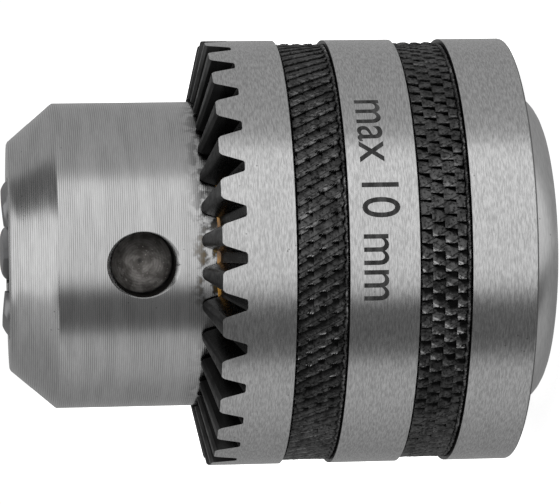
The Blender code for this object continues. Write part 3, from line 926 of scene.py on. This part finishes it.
@dataclass
class KnurlBand:
    """A blackened knurled band: columns of overlapping scales, each column half a step off the next."""

    finishes: Finishes
    name: str
    style: KnurlStyle
    front: float
    first_column: float
    first_edge: float
    width: float = 5.0 * MM
    crest: float = 20.87 * MM
    floor: float = 20.45 * MM
    rows: int = 96
    column: float = 1.2 * MM
    pit_depth: float = 0.32 * MM
    ridge_width: float = 0.46 * MM

    @property
    def pit_start(self) -> float:
        """Share of a column's width before its pits begin."""
        return 0.08 if self.style is KnurlStyle.SCALES else 0.42

    def row_samples(self) -> list[float]:
        """Places in one row, close together at the scales' edges in both kinds of column."""
        half = [0.004, 0.05, 0.10, 0.16, 0.22, 0.28, 0.34, 0.40, 0.45, 0.496]
        return half + [place + 0.5 for place in half]

    def column_samples(self) -> list[float]:
        """Distances behind the front edge, doubled where two columns meet."""
        places = {0.0, 0.05 * MM, 0.11 * MM, 0.17 * MM, 0.24 * MM}
        start = self.first_column - self.column
        while start < self.width - self.ridge_width:
            places |= {start + self.column * share
                       for share in (0.004, 0.13, 0.26, 0.4, 0.54, 0.68, 0.84, 0.996)}
            start += self.column
        places |= {self.width - self.ridge_width * share for share in (1.0, 0.86, 0.7, 0.5, 0.3, 0.15, 0.0)}
        return sorted(place for place in places if 0 <= place <= self.width)

    def stretch(self, turn: float) -> float:
        """Rows since the start of the third of the band that this place is in."""
        return (turn - 1.0) % (self.rows / 3)

    def heavy(self, turn: float) -> float:
        """How hard the wheel was pressed here, 0 to 1; three stretches of the band are cut deeper."""
        place = self.stretch(turn)
        rise = min(1.0, place / 3.0)
        fall = min(1.0, max(0.0, (18.0 - place) / 6.0))
        return rise * fall

    def scale_depth(self, turn: float, behind: float) -> float:
        """Depth of the pressed pattern below the crests.

        Args:
            turn: place round the band in rows, from an edge of an even column.
            behind: distance behind the front edge.

        Returns:
            The depth in metres.
        """
        place = (behind - self.first_column) / self.column
        heavy = self.heavy(turn)
        bend = mathnoise.noise(Vector((turn * 0.9, place * 0.8, 3.3)))
        lean = turn + (place - 1) / 2
        crossing = turn - place / 2
        groove = max(0.0, 1 - 9 * min(abs(lean - round(lean)), abs(crossing - round(crossing)) + 0.03))
        turn += (0.05 + 0.12 * heavy) * bend
        number = math.floor(place)
        across = place - number
        down = turn + 0.5 * (number % 2)
        chance = mathnoise.cell(Vector((math.floor(down) * 1.37 + 0.5, number * 3.1 + 0.5, 7.7)))
        down -= math.floor(down)
        scales = self.style is KnurlStyle.SCALES
        past = max(0.0, across - self.pit_start) / (1 - self.pit_start)
        past += heavy * (min(1.0, 2.5 * past) - past)
        low = (0.34 if scales else 0.27) * (0.75 + 0.45 * chance) * (1 + 0.7 * heavy) * past
        lip = max(0.0, (down - 0.88) / 0.12) * (0.3 + 0.7 * chance)
        if scales:
            peak = max(0.0, down - 1 + 0.45 * (1 - across / 0.85))
            depth = 0.085 * MM * (1 - down) + 0.065 * MM * heavy
        else:
            peak = 2 * max(0.0, down - 0.86) * min(1.0, max(0.0, 5 * across - 1.9))
            lean -= math.floor(lean)
            rise = min(1.0, lean / 0.7)
            depth = 0.13 * MM * (1 - rise * rise * (3 - 2 * rise)) + 0.075 * MM * heavy
            depth -= 0.04 * MM * max(0.0, (lean - 0.84) / 0.16) * chance
        depth += (0.05 if scales else 0.025) * MM * groove
        peak *= heavy * min(1.0, max(0.0, (13.0 - self.stretch(turn)) / 3.0))
        depth -= 0.045 * MM * lip + min(0.13 * MM, 0.9 * MM * peak)
        if down < low:
            depth = max(depth, self.pit_depth * (1 - 0.5 * down / low))
        return depth

    def height(self, turn: float, behind: float) -> float:
        """Radius of the band's surface at a place round it, in rows, and a distance behind its front edge."""
        spin = 2 * math.pi * turn / self.rows
        where = Vector((math.cos(spin) * 21, math.sin(spin) * 21, behind / MM))
        rough = 0.030 * MM * mathnoise.noise(where * 3.6) + 0.022 * MM * mathnoise.noise(where * 1.1)
        wave = math.sin(2 * math.pi * turn)
        edge = 0.20 * MM + 0.03 * MM * wave
        if behind < edge:
            bead = max(0.0, math.sin(4 * math.pi * turn + 0.8)) * math.sin(math.pi * behind / edge)
            return self.floor + 0.20 * MM + 0.24 * MM * bead + rough
        start = self.width - self.ridge_width + 0.07 * MM * wave
        if behind > start:
            past = (behind - start) / (self.width - start)
            rim = math.sin(math.pi * (0.08 + 0.74 * past)) ** 0.6
            return self.floor + (self.crest - self.floor) * rim + 3 * rough
        return self.crest - self.scale_depth(turn, behind) + rough

    def build(self) -> None:
        """Builds and dresses the band."""
        shape = bmesh.new()
        top, inner = at_depth(self.front), self.floor - 0.1 * MM
        places = self.column_samples()
        turns = [row + share for row in range(self.rows) for share in self.row_samples()]
        lean = 0.5 if self.style is KnurlStyle.RIDGES else 0.0
        rows: list[list[bmesh.types.BMVert]] = []
        for turn in turns:
            row = []
            for behind in places:
                place = turn + (self.first_column - behind) / self.column * lean
                angle = self.first_edge - 2 * math.pi * place / self.rows
                radius = self.height(place % self.rows, behind)
                row.append(shape.verts.new(on_circle(radius, angle, top - behind)))
            for vert, behind in ((row[-1], self.width), (row[0], 0.0)):
                angle = math.atan2(vert.co.y, vert.co.x)
                row.append(shape.verts.new(on_circle(inner, angle, top - behind)))
            rows.append(row)
        count = len(rows[0])
        for i, row in enumerate(rows):
            follow = rows[(i + 1) % len(rows)]
            for j in range(count):
                k = (j + 1) % count
                shape.faces.new((row[j], row[k], follow[k], follow[j]))
        bmesh.ops.recalc_face_normals(shape, faces=shape.faces)
        piece = new_object(self.name, mesh_from(self.name, shape))
        shade(piece, 40)
        paint(piece, (self.finishes.knurl,))
        finish_piece(piece, "sleeve", "ground_steel")


@dataclass
class SizeMarking:
    """A generic etched size marking that runs round the middle land of the sleeve."""

    finishes: Finishes
    words: str = "max 10 mm"
    cap_height: float = 3.55 * MM
    length: float = 20.6 * MM
    foot_depth: float = 33.0 * MM
    start_angle: float = math.radians(47.3)
    sunk: float = 0.004 * MM
    boldness: float = 0.004
    slices: int = 120

    def build(self) -> None:
        """Wraps the flat lettering onto the sleeve; it reads from the first letter down to the last."""
        text = bpy.data.curves.new("size_marking", "FONT")
        text.body = self.words
        text.size = 1.0
        text.resolution_u = 6
        text.offset = self.boldness
        flat = new_object("size_marking", text)
        bpy.context.view_layer.update()
        graph = bpy.context.evaluated_depsgraph_get()
        mesh = bpy.data.meshes.new_from_object(flat.evaluated_get(graph))
        bpy.data.objects.remove(flat, do_unlink=True)
        shape = bmesh.new()
        shape.from_mesh(mesh)
        bmesh.ops.remove_doubles(shape, verts=shape.verts, dist=1e-5)
        wide = max(v.co.x for v in shape.verts)
        left = min(v.co.x for v in shape.verts)
        tall = max(v.co.y for v in shape.verts)
        for cut in np.linspace(left, wide, self.slices)[1:-1]:
            geometry = shape.verts[:] + shape.edges[:] + shape.faces[:]
            bmesh.ops.bisect_plane(shape, geom=geometry, plane_co=(cut, 0, 0), plane_no=(1, 0, 0))
        radius = SLEEVE_RADIUS - self.sunk
        for vert in shape.verts:
            along = (vert.co.x - left) / (wide - left) * self.length
            angle = STUDY.up_angle - self.start_angle - along / SLEEVE_RADIUS
            vert.co = on_circle(radius, angle, at_depth(self.foot_depth) - vert.co.y / tall * self.cap_height)
        bmesh.ops.recalc_face_normals(shape, faces=shape.faces)
        for face in shape.faces:
            if face.normal.dot(outward(face.calc_center_median())) < 0:
                face.normal_flip()
        piece = new_object("size_marking", mesh_from("size_marking", shape))
        paint(piece, (self.finishes.etching,))
        finish_piece(piece, "sleeve", "ground_steel")


@dataclass
class ToothedSleeve:
    """The sleeve: bevel gear teeth at its front, ground lands and two sunk bands."""

    finishes: Finishes
    apex_depth: float = 14.5 * MM
    tip_slope: float = 0.24
    root_slope: float = 0.354
    root_width: float = 1.0 * MM
    flank_angle: float = math.radians(18.5)
    corner: float = 0.7 * MM
    teeth: int = 30
    phase: float = math.radians(2.5)
    front_bore: float = 15.5 * MM
    rear_bore: float = 19.35 * MM
    nut_bore: float = 18.9 * MM
    land_radius: float = SLEEVE_RADIUS - 0.012 * MM
    band_width: float = 5.0 * MM
    band_fronts: tuple[float, float] = (26.65 * MM, 38.35 * MM)
    band_floor: float = 20.4 * MM
    nut_bore_ends: tuple[float, float] = (23.9 * MM, 30.2 * MM)
    rear_edge: float = 0.25 * MM
    steps: int = 360

    def outline(self) -> list[Point]:
        """Half section before the teeth are cut, clockwise from the outer tooth tips."""
        big, ease = self.land_radius, 0.03 * MM
        plane = at_depth(self.apex_depth)
        points = [(big - 0.06 * MM, plane - self.tip_slope * big + 0.015 * MM),
                  (big, plane - self.tip_slope * big - 0.06 * MM)]
        for front in self.band_fronts:
            top, low = at_depth(front), at_depth(front + self.band_width)
            points += [(big, top + ease), (big - ease, top), (self.band_floor, top), (self.band_floor, low),
                       (big - ease, low), (big, low - ease)]
        edge, (nut_rear, nut_front) = self.rear_edge, self.nut_bore_ends
        points += arc((big - edge, SLEEVE_REAR + edge), edge, 0, -90, 5)
        points += [(self.rear_bore + 0.3 * MM, SLEEVE_REAR), (self.rear_bore, SLEEVE_REAR + 0.3 * MM),
                   (self.rear_bore, nut_rear), (self.nut_bore, nut_rear), (self.nut_bore, nut_front),
                   (self.front_bore, nut_front), (self.front_bore, plane - self.tip_slope * self.front_bore)]
        return fill_in(points, 2.0 * MM)

    def gap_section(self, radius: float) -> list[Point]:
        """Outline of a tooth gap at this radius, as sideways place and depth behind the nose face."""
        lean = self.flank_angle
        root = self.apex_depth + self.root_slope * radius
        tip = self.apex_depth + self.tip_slope * radius
        half_root = self.root_width / 2
        half_tip = half_root + (root - tip) * math.tan(lean)
        centre = half_tip + self.corner * (1 / math.cos(lean) - math.tan(lean))
        side = [(half_root - 0.14 * MM, root), (half_root + 0.03 * MM, root - 0.1 * MM)]
        side += [(centre - self.corner * math.cos(a), tip + self.corner * (1 - math.sin(a)))
                 for a in np.linspace(lean, math.radians(80), 7)]
        past = min(0.4 * MM, math.pi * radius / self.teeth - 0.01 * MM - side[-1][0])
        side.append((side[-1][0] + past, side[-1][1] - past * math.tan(math.radians(10))))
        side.append((side[-1][0], tip - 0.8 * MM))
        return side + [(-x, depth) for x, depth in reversed(side)]

    def gaps(self) -> bpy.types.Object:
        """One cutter with every gap between the teeth, each as wide at its root inside as outside."""
        shape = bmesh.new()
        reach = [self.front_bore - 0.3 * MM, SLEEVE_RADIUS + 0.4 * MM]
        for number in range(self.teeth):
            turn = turn_about_axis(FIRST_KEY_HOLE + self.phase + 2 * math.pi * number / self.teeth)
            loft(shape, [[turn @ Vector((radius, x, at_depth(depth))) for x, depth in self.gap_section(radius)]
                         for radius in reach])
        bmesh.ops.recalc_face_normals(shape, faces=shape.faces)
        return new_object("tooth_gaps", mesh_from("tooth_gaps", shape))

    def finish_of(self, face: bpy.types.MeshPolygon) -> int:
        """Picks a face's finish.

        Args:
            face: the face.

        Returns:
            0 for a ground land, 1 for a black gap in a darker black as painted shade, or a bore, 2 for
            the satin rear face, 3 for the dark rear edge, 4 for a black tooth top.
        """
        spot = face.center
        radius = math.hypot(spot.x, spot.y)
        if radius > SLEEVE_RADIUS - 0.06 * MM and face.normal.dot(outward(spot)) > 0.9:
            return 0
        if spot.z < SLEEVE_REAR + 0.4 * MM:
            return 3 if radius > SLEEVE_RADIUS - 0.26 * MM else 2
        top = at_depth(self.apex_depth + self.tip_slope * radius)
        # painted shade: faces down in the gaps take the darker black (1), the tooth tops the lighter (4)
        return 4 if face.normal.z > 0.5 and spot.z > top - 0.3 * MM else 1

    def build(self) -> None:
        """Builds and dresses the sleeve, its bands and its marking."""
        piece = new_object("sleeve_ground", turned("sleeve_ground", self.outline(), self.steps, True))
        combine(piece, [self.gaps()])
        shade(piece, 30)
        finishes = self.finishes
        coats = (finishes.ground, finishes.tooth_gaps, finishes.boss, finishes.bore, finishes.tooth_tops)
        paint(piece, coats, self.finish_of)
        true_round(piece, self.land_radius, SLEEVE_REAR, AXIS_LENGTH)
        finish_piece(piece, "sleeve", "ground_steel", "toothed_sleeve")
        front, rear = self.band_fronts
        middle = FIRST_KEY_HOLE + STUDY.up_angle
        KnurlBand(finishes, "knurl_front", KnurlStyle.RIDGES, front, 0.43 * MM,
                  middle + math.radians(9.97)).build()
        KnurlBand(finishes, "knurl_rear", KnurlStyle.SCALES, rear, 1.25 * MM,
                  middle + math.radians(10.97)).build()
        SizeMarking(finishes).build()


@dataclass
class JawSet:
    """Three round-bar jaws, ground to a wedge at their tips and threaded on their outer sides."""

    finishes: Finishes
    radius: float = 2.85 * MM
    tip_height: float = 53.72 * MM
    tip_tilt: float = math.radians(6)
    rear_height: float = 9.68 * MM
    cone_radius: float = 8.3 * MM
    cone_slope: float = 0.56
    rim_round: float = 1.05 * MM
    grip_radius: float = 4.0 * MM
    wedge_apex: float = 3.731 * MM
    back: float = 18.05 * MM
    thread_pitch: float = 1.8 * MM * math.cos(JAW_ANGLE)
    thread_depth: float = 0.95 * MM
    thread_reach: tuple[float, float] = (7.8 * MM, 35 * MM)
    thread_section: tuple[Point, ...] = ((0.0, -0.47 * MM), (1.3 * MM, -0.83 * MM), (1.3 * MM, 0.83 * MM),
                                         (0.0, 0.47 * MM))
    nut_middle: float = 27.05 * MM

    @staticmethod
    def axis_radius(height: float) -> float:
        """Distance of a jaw's middle line from the chuck's axis."""
        return JAW_AXIS_AT_NOSE + (AXIS_LENGTH - height) * math.tan(JAW_ANGLE)

    @staticmethod
    def place(azimuth: float, height: float) -> Matrix:
        """A frame on a jaw's middle line: local Z up the jaw, local X outwards."""
        spot = Matrix.Translation((JawSet.axis_radius(height), 0, height))
        return turn_about_axis(azimuth) @ spot @ Matrix.Rotation(-JAW_ANGLE, 4, "Y")

    def wedge(self) -> bpy.types.Mesh:
        """Prism that bounds a jaw across the axis: two wedge faces, the grip flat and the back."""
        slope = math.tan(math.radians(60))
        flat = (self.grip_radius - self.wedge_apex) * slope
        side = 2 * self.radius
        outline = [(self.grip_radius, -flat), (self.wedge_apex + side / slope, -side), (self.back, -side),
                   (self.back, side), (self.wedge_apex + side / slope, side), (self.grip_radius, flat)]
        shape = bmesh.new()
        loft(shape, [[Vector((x, y, z)) for x, y in outline] for z in (-2 * MM, 62 * MM)])
        bmesh.ops.recalc_face_normals(shape, faces=shape.faces)
        return mesh_from("jaw_wedge", shape)

    def thread(self, azimuth: float) -> bpy.types.Object:
        """Cutter with the jaw's thread: arcs about the chuck's axis, shifted along for each jaw."""
        shape = bmesh.new()
        floor = self.axis_radius(self.nut_middle) + self.radius / math.cos(JAW_ANGLE) - self.thread_depth
        share = azimuth / (2 * math.pi)
        low, high = (end / self.thread_pitch - share for end in self.thread_reach)
        for number in range(math.ceil(low), math.floor(high) + 1):
            z = self.thread_pitch * (number + share)
            centre = self.axis_radius(z) - self.axis_radius(self.nut_middle)
            sections = []
            for sweep in range(-21, 22, 3):
                angle = math.radians(sweep)
                sections.append([Vector((centre + (floor + out) * math.cos(angle),
                                         (floor + out) * math.sin(angle), z + up))
                                 for out, up in self.thread_section])
            loft(shape, sections)
        bmesh.ops.recalc_face_normals(shape, faces=shape.faces)
        return new_object("thread", mesh_from("thread", shape), turn_about_axis(azimuth))

    def cone(self) -> bpy.types.Object:
        """Cutter for the cone that the three tips are ground to together."""
        outer, inner = self.cone_radius + 1.5 * MM, 0.5 * MM
        outline = [(radius, AXIS_LENGTH + self.cone_slope * (self.cone_radius - radius))
                   for radius in (outer, inner)]
        outline.append((outer, AXIS_LENGTH + 6 * MM))
        return new_object("tip_cone", turned("tip_cone", outline, 180, True))

    def rim(self) -> bpy.types.Mesh:
        """Cutter that rounds a tip's rim about the bar's middle line, down from the tip's face."""
        outer, low = self.radius + 0.02 * MM, self.rim_round
        outline = arc((outer - low, -low), low, 90, 0, 8)
        outline += [(outer + 0.6 * MM, -low), (outer + 0.6 * MM, MM), (outer - low, MM)]
        return turned("tip_rim", outline, 96, True)

    def build(self) -> None:
        """Builds and dresses the three jaws."""
        length = (self.tip_height + 3 * MM - self.rear_height) / math.cos(JAW_ANGLE)
        wedge, rim = self.wedge(), self.rim()
        spot = Matrix.Translation((self.axis_radius(self.tip_height), 0, self.tip_height))
        tilt = Matrix.Rotation(-self.tip_tilt, 4, "Y")
        for number, azimuth in enumerate(JAW_AZIMUTHS, 1):
            bar = cylinder(f"jaw_{number}_bar", self.radius, length, 96)
            piece = new_object(f"jaw_{number}_bar", bar, self.place(azimuth, self.rear_height))
            combine(piece, [new_object("wedge", wedge, turn_about_axis(azimuth))], "INTERSECT")
            end = turn_about_axis(azimuth) @ spot @ tilt
            cutters = [new_object("tip", cylinder("tip", 9 * MM, 9 * MM, 4), end), new_object("rim", rim, end),
                       self.cone(), self.thread(azimuth)]
            combine(piece, cutters)
            ease_edges(piece, 0.14 * MM, 3, 25)
            bake_modifiers(piece)
            piece.data.transform(piece.matrix_world)
            piece.matrix_world = Matrix()
            shade(piece, 30)
            paint(piece, (self.finishes.jaw,))
            finish_piece(piece, f"jaw_{number}", "hardened_steel", f"jaw_{number}")


@dataclass
class NutAndBearing:
    """The split nut and the thrust bearing, whose solids keep their own shape."""

    finishes: Finishes

    def build(self) -> None:
        """Dresses the solids."""
        finishes = self.finishes
        looks = {"split_nut": (finishes.nut, 0.0), "thrust_race": (finishes.bearing, 0.12 * MM),
                 "ball_cage": (finishes.brass, 0.0), "bearing_ball": (finishes.bearing, 0.0)}
        for name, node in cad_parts.items():
            for start, (material, ease) in looks.items():
                if name.startswith(start):
                    self.dress(node, material, ease)
            if name.startswith("bearing_ball"):
                rounder = node.modifiers.new("rounder", "SUBSURF")
                rounder.levels = rounder.render_levels = 2

    @staticmethod
    def dress(node: bpy.types.Object, material: bpy.types.Material, ease: float) -> None:
        """Gives a solid its finish, and eased edges where asked."""
        paint(node, (material,))
        if ease:
            ease_edges(node, ease)
        LOG.info("%s: finished as %s", node.name, material.name)


@dataclass
class GreaseLine:
    """Amber grease that has crept up the joint between the nose and the sleeve."""

    finishes: Finishes
    inner: float = 15.2 * MM
    outer: float = 15.46 * MM
    depth: float = 20.0 * MM
    crown: float = 0.30 * MM
    skirt: float = 1.2 * MM
    lump: float = 0.16 * MM

    def build(self) -> None:
        """Builds and dresses the ring of grease."""
        middle, half = (self.inner + self.outer) / 2, (self.outer - self.inner) / 2
        top = at_depth(self.depth)
        crown = [(middle + half * math.cos(math.radians(a)), top + self.crown * math.sin(math.radians(a)))
                 for a in range(180, -1, -20)]
        outline = [(self.inner + 0.01 * MM, top - self.skirt), *crown,
                   (self.outer - 0.14 * MM, top - self.skirt)]
        piece = new_object("grease_line", turned("grease_line", outline, 240, True))
        for vert in piece.data.vertices:
            angle = math.atan2(vert.co.y, vert.co.x)
            lump = mathnoise.noise(Vector((math.cos(angle) * 6, math.sin(angle) * 6, 0.3)))
            if vert.co.z > top - 0.5 * MM:
                vert.co.z += self.lump * lump
        shade(piece, 60)
        paint(piece, (self.finishes.grease,))
        finish_piece(piece, "chuck_body", "turned_steel")


# ---------------------------------------------------------------------------------------------
# Studio
# ---------------------------------------------------------------------------------------------


@dataclass(frozen=True)
class StudyView:
    """Where the camera stands for the main view, lying on its side so that the nose points left."""

    roll: float = math.radians(0.96)
    yaw: float = math.radians(6.11)
    up_angle: float = math.radians(3.9)
    distance: float = 309.6 * MM
    aim_depth: float = 27.3 * MM
    focal_length: float = 197.8
    sensor: float = 36.0

    @property
    def up(self) -> Vector:
        """Direction that is up in the view, across the axis."""
        return Vector((math.cos(self.up_angle), math.sin(self.up_angle), 0))

    @property
    def near(self) -> Vector:
        """Direction towards the camera, across the axis."""
        return Vector((math.sin(self.up_angle), -math.cos(self.up_angle), 0))

    def camera(self) -> bpy.types.Object:
        """Makes the scene's camera."""
        back = Vector((0, 0, -1))
        along = back * math.cos(self.yaw) + self.near * math.sin(self.yaw)
        right = along * math.cos(self.roll) - self.up * math.sin(self.roll)
        up = along * math.sin(self.roll) + self.up * math.cos(self.roll)
        away = -back * math.sin(self.yaw) + self.near * math.cos(self.yaw)
        lens = bpy.data.cameras.new("study_camera")
        lens.lens = self.focal_length
        lens.sensor_width = self.sensor
        lens.clip_start = 0.01
        made = bpy.data.objects.new("study_camera", lens)
        bpy.context.scene.collection.objects.link(made)
        spot = Vector((0, 0, at_depth(self.aim_depth))) + away * self.distance
        turn = Matrix((right, up, away)).transposed()
        made.matrix_world = Matrix.Translation(spot) @ turn.to_4x4()
        bpy.context.scene.camera = made
        return made


STUDY = StudyView()


@dataclass
class Studio:
    """A pale floor under a tented studio: a wide front soft box, a dark gap below it and grey walls."""

    floor_size: float = 4.0
    floor_glow: float = 0.85
    lamp_size: float = 1.6
    lamp_power: float = 10.0
    lamp_height: float = 1.2
    walls: tuple[tuple[float, float], ...] = (
        (-180, 0.30), (-140, 0.30), (-115, 0.36), (-95, 0.45), (-75, 0.50), (-64, 0.46), (-57, 0.20),
        (-50, 0.14), (-31, 0.145), (-26, 0.30), (-21, 0.62), (-13, 0.84), (15, 0.90), (45, 0.95), (55, 0.92),
        (61, 0.62), (68, 0.47), (85, 0.43), (120, 0.40), (180, 0.34))

    def tent(self) -> None:
        """The light all round, by direction about the axis, with a bright panel over the nose."""
        world = bpy.data.worlds.new("tent")
        world.use_nodes = True
        bpy.context.scene.world = world
        graph = Graph(world.node_tree)
        where = graph.add("TexCoord").outputs["Generated"]
        across = [graph.length("DOT_PRODUCT", where, side) for side in (STUDY.up, STUDY.near)]
        angle = graph.math("ARCTAN2", *across)
        place = graph.math("MULTIPLY_ADD", angle, 1 / (2 * math.pi), 0.5)
        ramp = graph.add("ValToRGB", {0: place})
        stops = ramp.color_ramp.elements
        for number, (degrees, level) in enumerate(self.walls):
            spot = degrees / 360 + 0.5
            stop = stops[number] if number < 2 else stops.new(spot)
            stop.position = spot
            stop.color = colour(level)
        height = graph.parts(where)["Z"]
        side = across[0]
        shadow = graph.product(graph.spread(height, 0.70, 0.80, 0.0, 1.0),
                               graph.spread(side, 0.32, 0.41, 0.0, 1.0))
        level = graph.blend(shadow, ramp.outputs[0], colour(0.13))
        panel = graph.product(graph.spread(height, 0.88, 0.93, 0.0, 1.0),
                              graph.spread(side, 0.31, 0.39, 1.0, 0.0),
                              graph.spread(side, -0.38, -0.27, 0.1, 1.0))
        level = graph.blend(panel, level, colour(1.0))
        seen = graph.add("LightPath").outputs["Is Camera Ray"]
        level = graph.blend(seen, level, colour(1.05))
        light = graph.add("Background", {"Color": level, "Strength": 1.0})
        graph.add("OutputWorld", {"Surface": light.outputs[0]})

    def floor(self) -> None:
        """The pale floor, and the light that keeps it white."""
        shape = bmesh.new()
        bmesh.ops.create_grid(shape, x_segments=1, y_segments=1, size=self.floor_size / 2)
        piece = new_object("studio_floor", mesh_from("studio_floor", shape))
        material, graph, shader = shader_of("pale_floor")
        graph.feed(shader, {"Base Color": colour(0.86), "Roughness": 0.9, "Specular IOR Level": 0.1,
                            "Emission Color": colour(1.0), "Emission Strength": self.floor_glow})
        paint(piece, (material,))
        piece.visible_glossy = False
        lamp = bpy.data.lights.new("floor_light", "AREA")
        lamp.shape = "DISK"
        lamp.size = self.lamp_size
        lamp.energy = self.lamp_power
        light = bpy.data.objects.new("floor_light", lamp)
        light.location = (0, 0, self.lamp_height)
        light.visible_glossy = False
        bpy.context.scene.collection.objects.link(light)

    def build(self) -> None:
        """Sets up the studio."""
        bpy.context.scene.view_settings.view_transform = "Standard"
        self.tent()
        self.floor()
        STUDY.camera()
        LOG.info("studio ready")


def main() -> None:
    """Builds the studio and every sub-assembly in order."""
    logging.basicConfig(level=logging.INFO, format="%(name)s: %(message)s")
    Studio().build()
    finishes = Finishes()
    for assembly in (ChuckBody, ToothedSleeve, JawSet, NutAndBearing, GreaseLine):
        assembly(finishes).build()
    bpy.context.view_layer.update()


if __name__ == "__main__":
    main()
